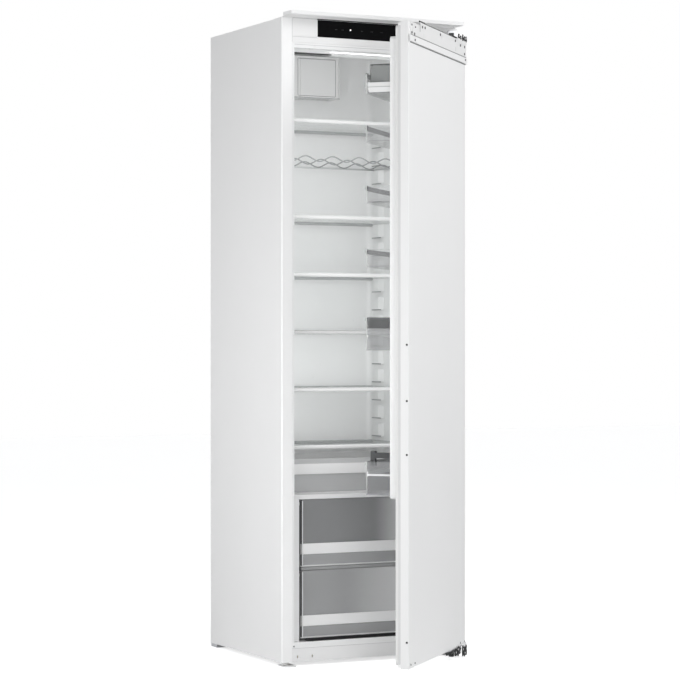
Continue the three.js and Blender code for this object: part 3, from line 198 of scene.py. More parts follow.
def add_surface(
    name,
    color,
    rough,
    metal=0.0,
    grain=(700.0, 0.00002),
    vary=0.02,
    alpha=1.0,
    coat=0.0,
    specular=0.5,
    regions=(),
    spread=(0.06, 4.0),
    shift=None,
):
    """A coloured surface with fine grain, slow colour drift and uneven gloss.

    grain: scale and height of the fine relief.
    vary: how far the colour drifts.
    spread: how far the roughness drifts, and the scale of both drifts.
    regions: (limits, colour, alpha or None), the later ones over the earlier. The limits are
    the lowest and highest values of the measures above.
    shift: (from x, to x, colour), in the room: painted light, plastic painted paler towards one
    side.
    """
    mat, tree = new_material(name)
    materials[name] = mat
    out = tree.nodes.new("ShaderNodeOutputMaterial")
    bsdf = tree.nodes.new("ShaderNodeBsdfPrincipled")
    coords = tree.nodes.new("ShaderNodeTexCoord")
    link(tree, bsdf, "BSDF", out, "Surface")
    drift, scale = spread
    slow = noise(tree, coords, scale, detail=4.0, rough=0.6)
    low = [c * (1 - vary) for c in color]
    high = [min(1.0, c * (1 + vary)) for c in color]
    tint = ramp(tree, slow, (0.3, low), (0.7, high)).outputs["Color"]
    if shift:
        start, end, far_color = shift
        split = tree.nodes.new("ShaderNodeSeparateXYZ")
        link(tree, coords, "Object", split, 0)
        share = tree.nodes.new("ShaderNodeMapRange")
        share.interpolation_type = "SMOOTHSTEP"
        share.inputs["From Min"].default_value = start
        share.inputs["From Max"].default_value = end
        link(tree, split, "X", share, "Value")
        mix = mix_colors(tree, share.outputs["Result"], tint, (*far_color, 1.0))
        tint = mix.outputs[COLOR_OUT]
    opacity = alpha
    if regions:
        axes = measures(tree, coords)
        for limits, region_color, region_alpha in regions:
            inside = region_mask(tree, axes, limits)
            mix = mix_colors(tree, inside, tint, (*region_color, 1.0))
            tint = mix.outputs[COLOR_OUT]
            if region_alpha is None:
                continue
            see = tree.nodes.new("ShaderNodeMix")
            plug(tree, inside, see.inputs[SHARE])
            plug(tree, opacity, see.inputs[PLAIN_A])
            see.inputs[PLAIN_B].default_value = region_alpha
            opacity = see.outputs[PLAIN_OUT]
    plug(tree, opacity, bsdf.inputs["Alpha"])
    plug(tree, tint, bsdf.inputs["Base Color"])
    blotch = noise(tree, coords, scale * 9, detail=5.0, rough=0.6)
    gloss = tree.nodes.new("ShaderNodeMapRange")
    gloss.inputs["To Min"].default_value = max(0.02, rough - drift)
    gloss.inputs["To Max"].default_value = rough + drift
    link(tree, blotch, "Fac", gloss, "Value")
    link(tree, gloss, "Result", bsdf, "Roughness")
    grain_scale, grain_height = grain
    fine = noise(tree, coords, grain_scale, detail=2.0)
    bump = tree.nodes.new("ShaderNodeBump")
    bump.inputs["Strength"].default_value = 1.0
    bump.inputs["Distance"].default_value = grain_height
    link(tree, fine, "Fac", bump, "Height")
    link(tree, bump, "Normal", bsdf, "Normal")
    bsdf.inputs["Metallic"].default_value = metal
    bsdf.inputs["Specular IOR Level"].default_value = specular
    bsdf.inputs["Coat Weight"].default_value = coat
    bsdf.inputs["Coat Roughness"].default_value = 0.12
    return mat


def add_zinc(name, color, rough):
    """Zinc-coated sheet, with its faint spangle."""
    mat = add_surface(name, color, rough, metal=0.85, grain=(500.0, 0.00002), vary=0.05)
    tree = mat.node_tree
    bsdf = next(n for n in tree.nodes if n.type == "BSDF_PRINCIPLED")
    coords = next(n for n in tree.nodes if n.type == "TEX_COORD")
    cells = tree.nodes.new("ShaderNodeTexVoronoi")
    cells.inputs["Scale"].default_value = 90.0
    link(tree, coords, "Object", cells, "Vector")
    shade = tree.nodes.new("ShaderNodeHueSaturation")
    shade.inputs["Saturation"].default_value = 0.0
    link(tree, cells, "Color", shade, "Color")
    base = bsdf.inputs["Base Color"].links[0].from_socket
    mix = mix_colors(tree, 0.22, base, shade.outputs[0])
    mix.blend_type = "SOFT_LIGHT"
    tree.links.new(mix.outputs[COLOR_OUT], bsdf.inputs["Base Color"])


def add_glow(name, strength, strip=None):
    """A milky diffuser that glows: all of it, or only the strip inside the limits, the rest then
    painted grey as painted shade.
    """
    mat, tree = new_material(name)
    materials[name] = mat
    out = tree.nodes.new("ShaderNodeOutputMaterial")
    bsdf = tree.nodes.new("ShaderNodeBsdfPrincipled")
    coords = tree.nodes.new("ShaderNodeTexCoord")
    cloud = noise(tree, coords, 120.0)
    tint = ramp(tree, cloud, (0.2, (0.97, 0.98, 1.0)), (0.8, (1.0, 1.0, 1.0))).outputs["Color"]
    body = light = tint
    if strip:
        inside = region_mask(tree, measures(tree, coords), strip)
        light = mix_colors(tree, inside, (0.03, 0.03, 0.03, 1.0), tint).outputs[COLOR_OUT]
        # Outside the strip the diffuser is painted grey: painted shade on its unlit part.
        body = mix_colors(tree, inside, (0.55, 0.555, 0.56, 1.0), tint).outputs[COLOR_OUT]
    tree.links.new(light, bsdf.inputs["Emission Color"])
    tree.links.new(body, bsdf.inputs["Base Color"])
    bsdf.inputs["Emission Strength"].default_value = strength
    bsdf.inputs["Roughness"].default_value = 0.35
    link(tree, bsdf, "BSDF", out, "Surface")


def grey(value):
    return (value, value, value)


# Fine reliefs, as scale and height
LINER_GRAIN = (900.0, 0.00001)
MOULDED_GRAIN = (1500.0, 0.00003)
CLEAR_GRAIN = (260.0, 0.00001)
WIRE_GRAIN = (900.0, 0.000004)
STEEL_GRAIN = (1200.0, 0.00001)
SCREW_GRAIN = (1500.0, 0.00001)
SEAM_GRAIN = (1500.0, 0.00002)


def add_case_materials():
    """Sheet metal, mouldings, lamps and metals. The fronts of the side sheets are painted paler:
    painted light where the front lamps fall on them.
    """
    # Painted light: the case's front faces are painted paler than its sides, apart from the base
    # panel's front.
    stile = {"deep": (None, -0.2385)}
    base = {**stile, "z": (None, 0.0475), "wide": (-0.2415, 0.2415)}
    paint = {"specular": 0.25, "vary": 0.006}
    case_regions = [(stile, grey(0.97), None), (base, grey(0.87), None)]
    # Painted shade: the door's free edge face is painted darker than its outer face.
    door_regions = [({"x": (None, -0.5392)}, grey(0.78), None)]
    add_surface("case_paint", grey(0.88), 0.42, regions=case_regions, **paint)
    add_surface("door_paint", grey(0.87), 0.45, regions=door_regions, **paint)
    # Painted shade: the bracket's paint, also used on the hinge carriers, is the door's white
    # painted darker.
    add_surface("bracket_paint", grey(0.81), 0.45, **paint)
    add_zinc("zinc_sheet", (0.62, 0.63, 0.65), 0.38)
    add_surface("insulation", (0.84, 0.74, 0.50), 0.95, grain=(160.0, 0.0006), vary=0.08)

    liner = {"grain": LINER_GRAIN, "vary": 0.008}
    add_surface("liner_plastic", (0.90, 0.903, 0.903), 0.3, **liner)
    # Painted shade: the door's liner is the case liner's plastic painted a little darker.
    add_surface("door_liner_plastic", (0.85, 0.853, 0.853), 0.3, **liner)
    moulded = {"grain": MOULDED_GRAIN, "vary": 0.01}
    add_surface("white_plastic", grey(0.87), 0.42, **moulded)
    # Painted light and shade: the shelf trims are one plastic, painted in a tone for each group
    # of shelves by the light that reaches it.
    trims = {"trim_plastic": 0.60, "mid_trim_plastic": 0.39, "low_trim_plastic": 0.64}
    for name, red in trims.items():
        add_surface(name, (red, red + 0.003, red + 0.003), 0.45, specular=0.25, **moulded)
    add_surface("grey_plastic", (0.05, 0.052, 0.055), 0.5, grain=MOULDED_GRAIN, vary=0.06)
    add_surface("gasket_rubber", (0.72, 0.72, 0.715), 0.6, grain=(1300.0, 0.00003))

    add_glow("lamp_diffuser", 2.2, {"wide": (-0.122, None), "deep": (-0.198, -0.178)})
    add_glow("soft_white_light", 2.0)

    add_surface("chromed_wire", (0.36, 0.365, 0.37), 0.30, metal=1.0, grain=WIRE_GRAIN)
    add_surface("rack_rail", (0.66, 0.665, 0.67), 0.4, metal=0.3, grain=WIRE_GRAIN)
    add_surface(
        "black_paint", (0.018, 0.018, 0.02), 0.45,
        coat=0.2, grain=(800.0, 0.00004), vary=0.2,
    )
    add_surface("evaporator_metal", (0.7, 0.71, 0.72), 0.35, metal=1.0, vary=0.03)
    steel = {"grain": STEEL_GRAIN, "vary": 0.08}
    add_surface("hinge_steel", (0.035, 0.036, 0.038), 0.40, metal=0.3, **steel)
    add_surface("link_steel", (0.008, 0.008, 0.009), 0.50, specular=0.12, **steel)
    add_surface("rail_steel", (0.52, 0.52, 0.525), 0.35, metal=0.4, grain=SCREW_GRAIN, vary=0.05)
    add_surface("screw_steel", (0.10, 0.10, 0.105), 0.35, metal=0.8, grain=SCREW_GRAIN, vary=0.05)

    # Flat tones for thin strips. The three dark and grey ones are painted shade in gaps and
    # grooves and painted shadows under parts; the pale one draws joint lines and one painted
    # shadow; the last is the plugs' own dark.
    for name, color, vary in (
        ("shade_dark", (0.015, 0.015, 0.016), 0.1),
        ("shade_grey", (0.26, 0.262, 0.264), 0.06),
        ("groove_shade_grey", (0.36, 0.362, 0.364), 0.04),
        ("seam_pale", (0.64, 0.642, 0.644), 0.03),
        ("hole_dark", grey(0.02), 0.1),
    ):
        add_surface(name, color, 0.6, grain=SEAM_GRAIN, vary=vary)


# Fine relief and slight drift of the clear plastics
CLEAR = {"grain": CLEAR_GRAIN, "vary": 0.03}


def below(high):
    return {"z": (None, high)}


def add_clear_materials():
    """Glass, and the clear plastic of the shelf trims and drawers."""
    add_surface(
        "control_glass", (0.003, 0.003, 0.0035), 0.06,
        grain=(300.0, 0.000002), specular=0.05, spread=(0.02, 6.0),
    )
    add_surface(
        "shelf_glass", (0.80, 0.86, 0.84), 0.05,
        alpha=0.22, vary=0.01, grain=(200.0, 0.000002), spread=(0.02, 5.0),
    )
    # Rear trims of the shelves, grey and part clear: they also stand for the shadow line under
    # each shelf's rear edge, a painted shade.
    add_surface(
        "rear_trim_plastic", (0.50, 0.505, 0.51), 0.3,
        alpha=0.75, grain=LINER_GRAIN, vary=0.03,
    )
    # Painted highlight on the drawers' edges, and painted shade for the gap between two drawers.
    add_surface("drawer_edge", (0.74, 0.743, 0.745), 0.3, grain=CLEAR_GRAIN)
    add_surface("drawer_gap_grey", (0.34, 0.343, 0.346), 0.3, grain=CLEAR_GRAIN, vary=0.04)

    # Painted light and shade: the three drawers are one clear plastic in three tones. The middle
    # and lower ones are painted paler towards the right, a painted light, and paler along their
    # foot; the upper one is painted paler at the back of its top, a painted light.
    pale, foot = (0.86, 0.865, 0.87), (0.52, 0.525, 0.53)
    add_surface(
        "drawer_upper", (0.66, 0.665, 0.67), 0.12, alpha=0.62,
        regions=[({"deep": (-0.11, None), "z": (0.535, None)}, grey(0.95), 0.70)], **CLEAR,
    )
    add_surface(
        "drawer_middle", (0.36, 0.365, 0.37), 0.12, alpha=0.60,
        shift=(0.01, 0.11, pale), regions=[(below(0.3005), foot, 0.60)], **CLEAR,
    )
    add_surface(
        "drawer_lower", (0.47, 0.475, 0.48), 0.12, alpha=0.64,
        shift=(-0.08, 0.10, pale), regions=[(below(0.1040), foot, 0.62)], **CLEAR,
    )


# Parts of a bin: all of it, its front wall, its wall at the free edge, and the corner of the two
WHOLE = {"x": (None, 1.0)}
FRONT = {"y": (0.1205, None)}
END = {"x": (None, -0.4845), "y": (None, 0.1205)}
CORNER = {"y": (0.1225, None), "x": (None, -0.4800)}
# Colour and alpha of the painted shade on the rims, the painted light of the pale strips and the
# painted highlight at the corner
RIM_SHADE = ((0.045, 0.046, 0.048), 0.74)
LIT_STRIP = ((0.80, 0.805, 0.805), 0.94)
CORNER_HIGHLIGHT = ((0.80, 0.81, 0.81), 0.60)


def band(part, low, high=None):
    """The part of a bin between two heights."""
    return {**part, "z": (low, high)}


def add_bin(name, regions):
    add_surface(name, (0.55, 0.56, 0.57), 0.12, alpha=0.17, regions=regions, **CLEAR)


def add_bin_materials():
    """Clear plastic of the bins and the lid, with painted light and shade by regions: painted
    shade where the eye looks along a wall and on the rims, painted light in pale strips, and a
    painted highlight at each free corner.
    """
    # The dairy bin: painted shade in its dark bands, painted light in its pale bands and strip,
    # and a painted highlight at its corner.
    add_bin(
        "dairy_bin_plastic",
        [
            (WHOLE, (0.42, 0.43, 0.43), 0.30),
            (band(END, 1.5590, 1.5805), (0.20, 0.205, 0.205), 0.40),
            (band(END, 1.5805), (0.75, 0.755, 0.755), 0.60),
            (band(END, 1.5325, 1.5590), *LIT_STRIP),
            (band(END, 1.5455, 1.5472), (0.40, 0.405, 0.405), 0.9),
            (band(FRONT, 1.5700), (0.06, 0.062, 0.062), 0.55),
            (CORNER, *CORNER_HIGHLIGHT),
            (band(CORNER, 1.5805), *RIM_SHADE),
        ],
    )
    # Painted shade on the rim at the top of the front and at the foot, and a painted highlight at
    # the corner.
    for number, low, top in ((2, 1.402, 1.446), (3, 1.242, 1.288), (4, 1.074, 1.122)):
        add_bin(
            f"bin_plastic_{number}",
            [
                (FRONT, (0.50, 0.505, 0.51), 0.14),
                (band(FRONT, top - 0.0125), *RIM_SHADE),
                (CORNER, *CORNER_HIGHLIGHT),
                (below(low + 0.0025), (0.40, 0.405, 0.41), 0.22),
                (band(END, low + 0.0025, low + 0.0050), (0.20, 0.205, 0.21), 0.30),
            ],
        )
    # Painted shade on the top of the front and end walls, painted light in a thin pale strip, and
    # a painted highlight at the corner.
    add_bin(
        "bin_plastic_5",
        [
            (FRONT, (0.36, 0.365, 0.37), 0.30),
            (band(FRONT, 0.8935, 0.8965), *LIT_STRIP),
            (band(FRONT, 0.915), *RIM_SHADE),
            (band(END, 0.915), (0.10, 0.103, 0.106), 0.34),
            (CORNER, *CORNER_HIGHLIGHT),
            (below(0.8595), (0.34, 0.345, 0.35), 0.30),
        ],
    )
    # Painted light in the pale strips, painted shade on the upper front, and painted highlights
    # at the corner and along the foot.
    add_bin(
        "bin_plastic_6",
        [
            (FRONT, (0.20, 0.203, 0.206), 0.50),
            (band(FRONT, 0.527, 0.540), *LIT_STRIP),
            (band(END, 0.529, 0.534), *LIT_STRIP),
            (band(FRONT, 0.540), (0.16, 0.165, 0.17), 0.55),
            (CORNER, *CORNER_HIGHLIGHT),
            (below(0.4805), (0.42, 0.42, 0.45), 0.60),
        ],
    )
    # The lid: painted shade along its front, its top and its free end, and a darker band at its
    # foot, painted shade too.
    add_surface(
        "lid_plastic", (0.36, 0.375, 0.37), 0.10, alpha=0.42, **CLEAR,
        regions=[
            (band(FRONT, 1.6032), (0.08, 0.082, 0.082), 0.60),
            ({"z": (1.6034, None), "x": (None, -0.4690)}, (0.03, 0.032, 0.032), 0.90),
            ({"y": (0.1150, None), "x": (None, -0.4745)}, (0.08, 0.083, 0.083), 0.60),
            (below(1.5605), (0.14, 0.145, 0.145), 0.60),
        ],
    )


# Nodes whose material isn't the one of their slot
SPECIAL = {
    "door_outer_panel": "door_paint",
    "door_liner": "door_liner_plastic",
    "panel_bracket": "bracket_paint",
    "panel_rail": "door_paint",
    "dairy_lid": "lid_plastic",
    "door_bin_1": "dairy_bin_plastic",
    "drawer_upper": "drawer_upper",
    "drawer_middle": "drawer_middle",
    "drawer_lower": "drawer_lower",
}
for number in range(2, 7):
    SPECIAL[f"door_bin_{number}"] = f"bin_plastic_{number}"
for trim, numbers in (
    ("trim_plastic", (1, 2, 3)),
    ("mid_trim_plastic", (4, 5)),
    ("low_trim_plastic", (6,)),
):
    for number in numbers:
        SPECIAL[f"shelf_trim_{number}"] = trim


def dress_nodes():
    slots = {part["node"]: part["material_slot"] for part in frame["record"]["subparts"]}
    for name, obj in nodes.items():
        mat = materials[SPECIAL.get(name, slots[name])]
        for place in obj.material_slots:
            place.material = mat
        if not obj.material_slots:
            obj.data.materials.append(mat)


# Forms of the small pieces


def add_piece(name, bm, material, body, smooth=False):
    mesh = bpy.data.meshes.new(name)
    bmesh.ops.recalc_face_normals(bm, faces=bm.faces)
    bm.to_mesh(mesh)
    bm.free()
    for face in mesh.polygons:
        face.use_smooth = smooth
    obj = bpy.data.objects.new(name, mesh)
    scene.collection.objects.link(obj)
    obj.data.materials.append(materials[material])
    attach(obj, body)
    return obj


def join_loops(bm, loops):
    """Walls between the loops, one after the other, and a cap at each end."""
    count = len(loops[0])
    for a, b in zip(loops, loops[1:]):
        for i in range(count):
            j = (i + 1) % count
            bm.faces.new((a[i], a[j], b[j], b[i]))
    bm.faces.new(list(reversed(loops[0])))
    bm.faces.new(loops[-1])


def facing(point, normal):
    """A frame at the point whose Z is the normal and whose Y leans up."""
    z = normal.normalized()
    x = UP.cross(z)
    x = x.normalized() if x.length > 1e-6 else EAST
    y = z.cross(x)
    return Matrix.Translation(point) @ Matrix((x, y, z)).transposed().to_4x4()


def circle(radius, sides):
    """Points round a circle, as pairs."""
    turns = (2 * math.pi * i / sides for i in range(sides))
    return [(radius * math.cos(turn), radius * math.sin(turn)) for turn in turns]


def add_profile(bm, place, rings, sides=20):
    """A turned form: rings of (radius, height) along the frame's Z, closed at both ends."""
    join_loops(
        bm,
        [
            [bm.verts.new(place @ Vector((x, y, height))) for x, y in circle(radius, sides)]
            for radius, height in rings
        ],
    )


# Profile of a pan head with a dished middle, as shares of its radius and height
SCREW_HEAD = (
    (1.0, 0.0), (1.0, 0.35), (0.93, 0.7), (0.75, 0.92), (0.42, 1.0), (0.34, 0.55), (0.1, 0.3),
)
# Half length and half width of a bar of its cross, as shares of the radius, and its low and
# high levels, as shares of the height
BAR_LENGTH, BAR_WIDTH, BAR_LOW, BAR_HIGH = 0.62, 0.11, 0.86, 1.02
# Corners of the faces of a box whose lower four corners come before the upper four
BOX_FACES = ((0, 3, 2, 1), (4, 5, 6, 7), (0, 1, 5, 4), (1, 2, 6, 5), (2, 3, 7, 6), (3, 0, 4, 7))


def add_screw(bm, centre, normal, radius=0.0036, height=0.0016):
    """A pan head with a raised cross in its dished middle."""
    place = facing(centre, normal)
    add_profile(bm, place, [(radius * r, height * h) for r, h in SCREW_HEAD])
    for turn in (0.0, math.pi / 2):
        bar = place @ Matrix.Rotation(turn, 4, "Z")
        corners = [
            bm.verts.new(bar @ Vector((x * radius * BAR_LENGTH, y * radius * BAR_WIDTH, z)))
            for z in (height * BAR_LOW, height * BAR_HIGH)
            for x, y in ((-1, -1), (1, -1), (1, 1), (-1, 1))
        ]
        for quad in BOX_FACES:
            bm.faces.new([corners[i] for i in quad])


# Section of a bead, as shares of its width and depth
BEAD_SECTION = ((-0.5, 0.0), (-0.45, 0.65), (-0.3, 1.0), (0.3, 1.0), (0.45, 0.65), (0.5, 0.0))


def add_bead(bm, start, end, normal, width, depth):
    """A low crowned strip with round ends, standing on a face with this normal."""
    run = (end - start).normalized()
    side = normal.cross(run).normalized()
    length = (end - start).length
    tip = min(width / 2, length / 4)
    steps = ((0.0, 0.45), (tip * 0.3, 0.8), (tip, 1.0))
    stations = [*steps, *((length - along, share) for along, share in reversed(steps))]
    loops = []
    for along, share in stations:
        centre = start + run * along
        loops.append(
            [
                bm.verts.new(centre + side * (width * share * s) + normal * (depth * h))
                for s, h in BEAD_SECTION
            ]
        )
    join_loops(bm, loops)


def add_tube(bm, points, radius, across, sides=10):
    """A round wire through the points, which all lie square to the direction across."""
    loops = []
    last = len(points) - 1
    for i, point in enumerate(points):
        run = (points[min(i + 1, last)] - points[max(i - 1, 0)]).normalized()
        other = run.cross(across)
        loops.append(
            [bm.verts.new(point + across * u + other * v) for u, v in circle(radius, sides)]
        )
    join_loops(bm, loops)


def add_plate(bm, left, right, low, high, near, far):
    """A plate with cut corners and a bevelled front, in the door's millimetres."""
    cut = 0.28 * min(right - left, high - low)
    shoulder = near + 0.4 * (far - near)
    bevel = 0.7
    loops = []
    for y, inset in ((far, 0.0), (shoulder, 0.0), (near, bevel)):
        x0, x1, z0, z1 = left + inset, right - inset, low + inset, high - inset
        corners = (
            (x0 + cut, z0), (x1 - cut, z0), (x1, z0 + cut), (x1, z1 - cut),
            (x1 - cut, z1), (x0 + cut, z1), (x0, z1 - cut), (x0, z0 + cut),
        )
        loops.append([bm.verts.new(door_point(x, y, z)) for x, z in corners])
    join_loops(bm, loops)


def add_beads(name, material, body, strips):
    """One piece of beads, each given as (start, end, normal, width, depth)."""
    bm = bmesh.new()
    for start, end, normal, width, depth in strips:
        add_bead(bm, Vector(start), Vector(end), normal, width, depth)
    add_piece(name, bm, material, body)


def level_run(left, right, y, z):
    """Both ends of a level bead."""
    return (left, y, z), (right, y, z)


def upright_run(x, y, low, high):
    """Both ends of an upright bead."""
    return (x, y, low), (x, y, high)


# Small pieces


def cabinet_seams():
    """Gaps, grooves and trims that are too thin for solids of their own, most of them painted
    shade: dark strips in gaps and grooves and painted shadows under parts.
    """
    trim_z = 1.7588
    # Painted shade: black strips at the back and on the floor of the gap under the lower drawer,
    # in the shadow under the top trim, and under the header's rear edge.
    add_beads(
        "cabinet_gap_shade",
        "shade_dark",
        "cabinet",
        [
            (*level_run(-0.1935, 0.2050, -0.2190, 0.0674), FORWARD, 0.0063, 0.0030),
            (*level_run(-0.1935, 0.2050, -0.2300, 0.0643), UP, 0.0180, 0.0006),
            (*level_run(-0.1660, 0.1500, TOP_TRIM_FACE, trim_z), FORWARD, 0.0024, 0.0025),
            (*level_run(-0.2340, -0.0700, -0.1300, 1.6788), -UP, 0.0440, 0.0016),
        ],
    )
    add_beads(
        "cabinet_fine_gaps",
        "seam_pale",
        "cabinet",
        [
            (*upright_run(-0.2415, STILE_FACE, 1.6930, 1.7570), FORWARD, 0.0014, 0.0002),
            (*level_run(-0.2395, -0.1665, STILE_FACE, 1.7080), FORWARD, 0.0016, 0.0002),
            (*level_run(-0.2345, 0.2345, STILE_FACE, 1.6870), FORWARD, 0.0016, 0.0002),
            (*level_run(-0.2405, 0.2405, STILE_FACE, 0.0475), FORWARD, 0.0014, 0.0002),
            # Painted shadow: the paler line under the left end of the top trim.
            (*level_run(-0.2400, -0.1665, TOP_TRIM_FACE, trim_z), FORWARD, 0.0020, 0.0025),
        ],
    )
    # Painted shade in the fan cover's grooves, and a painted shadow along its lower edge.
    lower_shadow_y = FAN_COVER_FACE + 0.0005
    add_beads(
        "fan_cover_groove_shade",
        "groove_shade_grey",
        "cabinet",
        [
            (*upright_run(-0.0380, FAN_COVER_FACE, 1.5950, 1.7015), FORWARD, 0.0016, 0.0004),
            (*upright_run(0.0840, FAN_COVER_FACE, 1.5950, 1.7015), FORWARD, 0.0016, 0.0004),
            (*level_run(-0.0375, 0.0835, FAN_COVER_FACE, 1.5945), FORWARD, 0.0016, 0.0004),
            (*level_run(-0.0375, 0.0835, FAN_COVER_FACE, 1.7020), FORWARD, 0.0016, 0.0004),
            (*level_run(-0.0520, 0.0980, lower_shadow_y, 1.5896), FORWARD, 0.0020, 0.0006),
        ],
    )
    # Strips at the shelves' rear edges: partly trim, partly a painted shade for the shadow line
    # under each edge.
    add_beads(
        "shelf_rear_trims",
        "rear_trim_plastic",
        "cabinet",
        [
            (*level_run(-0.2300, 0.2300, SHELF_REAR, z - 0.0040), FORWARD, 0.0095, 0.0022)
            for z in (1.4966, 1.2296, 1.0694, 0.9092, 0.7490, 0.5888)
        ],
    )
    # Painted shade: grey lines for the shadow lines of the shelf supports on the side walls.
    lowest, pitch, count = 0.6012, 0.0532, 17
    front, rear = 0.1320, 0.1900
    add_beads(
        "support_shade_lines",
        "groove_shade_grey",
        "cabinet",
        [
            (
                (side * SUPPORT_FACE, front, z),
                (side * SUPPORT_FACE, rear, z),
                EAST * -side,
                0.0030,
                0.0006,
            )
            for side in (-1, 1)
            for z in [lowest + pitch * i for i in range(count)]
        ],
    )
    bm = bmesh.new()
    add_screw(bm, Vector((-0.2360, SCREW_FACE, 0.0530)), FORWARD, radius=0.0028, height=0.0006)
    add_piece("base_screw", bm, "screw_steel", "cabinet")


def drawer_edges():
    """Painted highlights on the drawers' lower and side edges, painted shade in the gaps beside
    them and above the lower drawer.
    """
    for name, body, low, high in (
        ("lower", "tray_lower", 0.0712, 0.2550),
        ("middle", "tray_middle", 0.2663, 0.4490),
    ):
        foot = level_run(-0.2070, 0.2070, DRAWER_FACE, low + 0.0020)
        beads = [(*foot, FORWARD, 0.0038, 0.0012)]
        gaps = []
        for side in (-1, 1):
            edge = upright_run(side * 0.2023, DRAWER_FACE, low + 0.005, high - 0.003)
            gap = upright_run(side * 0.2055, DRAWER_FACE, low + 0.003, high - 0.001)
            beads.append((*edge, FORWARD, 0.0042, 0.0040))
            gaps.append((*gap, FORWARD, 0.0022, 0.0036))
        # Painted highlights on the edges, and painted shade in the gaps beside them.
        add_beads(f"{name}_drawer_edge_highlights", "drawer_edge", body, beads)
        add_beads(f"{name}_drawer_gap_shadows", "shade_dark", body, gaps)
    # Painted shade: a grey strip in the gap between the lower and middle drawers.
    gap_shade_strip = (*level_run(-0.2040, 0.2040, -0.2160, 0.2604), FORWARD, 0.0104, 0.0030)
    add_beads("lower_drawer_gap_grey", "drawer_gap_grey", "tray_lower", [gap_shade_strip])


def door_seams():
    """Painted shade at the panel rail's gaps with a painted shadow under the rail, a painted
    shadow along the bracket's top, and painted shade in the groove of the door's free edge.
    """
    rail_left, rail_right = -528, -2
    top_shadow_y = DOOR_FACE - 0.6

    def on_door(left, right, y, low, high, width, depth):
        return (door_point(left, y, low), door_point(right, y, high), OUTWARD, width, depth)

    # Painted shade in the gaps above and beside the rail, and a painted shadow under it.
    add_beads(
        "panel_rail_gap_shade",
        "shade_grey",
        "door",
        [
            on_door(rail_left, rail_right, BRACKET_FACE, 1674.0, 1674.0, 0.0022, 0.0006),
            on_door(rail_left, rail_right, DOOR_FACE - 0.1, 1654.5, 1654.5, 0.0026, 0.0014),
            on_door(-448, -448, BRACKET_FACE, 1690, 1713, 0.0030, 0.0006),
        ],
    )
    # A painted shadow along the bracket's top edge.
    add_beads(
        "bracket_top_shadow",
        "hinge_steel",
        "door",
        [
            on_door(-452, -404, top_shadow_y, 1717.2, 1717.2, 0.0046, 0.0030),
            on_door(-402, -105, top_shadow_y, 1716.2, 1716.2, 0.0028, 0.0026),
        ],
    )
    # Painted shade: a pale grey strip where the liner meets the gasket.
    low = door_point(DOOR_LINER_EDGE, 17.9, 46)
    high = door_point(DOOR_LINER_EDGE, 17.9, 1698)
    groove = (low, high, -ALONG, 0.0070, 0.0006)
    add_beads("door_edge_groove_shade", "seam_pale", "door", [groove])


def hinge_links():
    """Links and pins of the concealed hinges, on carriers that stand on the door's outer face."""
    bm = bmesh.new()
    thin = (-11.5, -11.15)
    foot = (-11.1, -8.05)
    for left, right, low, high, depths in (
        (-92.0, -50.0, 1705.5, 1727.0, thin),
        (-49.0, 2.4, 1705.5, 1730.0, thin),
        (-97.0, -57.0, 15.0, 41.0, thin),
        (-49.0, 2.4, 6.0, 41.0, thin),
        (-95.0, -57.0, 36.5, 41.0, foot),
        (-49.0, 2.4, 36.5, 41.0, foot),
    ):
        add_plate(bm, left, right, low, high, *depths)
    add_piece("hinge_carriers", bm, "bracket_paint", "door")
    bm = bmesh.new()
    for left, right, low, high in (
        (-137.7, -95.0, 1716.4, 1719.6),
        (-87.6, -69.5, 1719.0, 1731.0),
        (-68.0, -52.0, 1718.0, 1728.0),
        (-46.9, -28.5, 1716.5, 1734.0),
        (-27.0, -12.5, 1717.5, 1731.5),
        (-11.0, 2.4, 1716.5, 1733.0),
        (-206.7, -149.0, 27.0, 33.0),
        (-122.8, -96.0, 14.0, 34.5),
        (-94.5, -78.0, 10.8, 39.6),
        (-76.5, -59.2, 14.5, 37.0),
        (-46.9, -29.0, 4.0, 34.2),
        (-27.5, -13.0, 1.5, 30.0),
        (-11.5, 2.4, 3.0, 33.0),
    ):
        add_plate(bm, left, right, low, high, near=-12.5, far=-11.55)
    add_piece("hinge_links", bm, "link_steel", "door")
    bm = bmesh.new()
    pin_foot = -12.4
    pin = [(0.0028, 0.0), (0.0028, 0.0008), (0.0022, 0.0014), (0.0009, 0.0011)]
    for x, z in (
        (-78.5, 1725.0), (-60.0, 1723.0), (-37.5, 1728.5), (-19.5, 1724.5), (-3.8, 1727.0),
        (-109.0, 24.0), (-86.0, 30.0), (-68.0, 22.0), (-38.0, 24.0), (-20.0, 12.0), (-4.0, 22.0),
    ):
        add_profile(bm, facing(door_point(x, pin_foot, z), OUTWARD), pin, 14)
    add_piece("hinge_pins", bm, "rail_steel", "door")


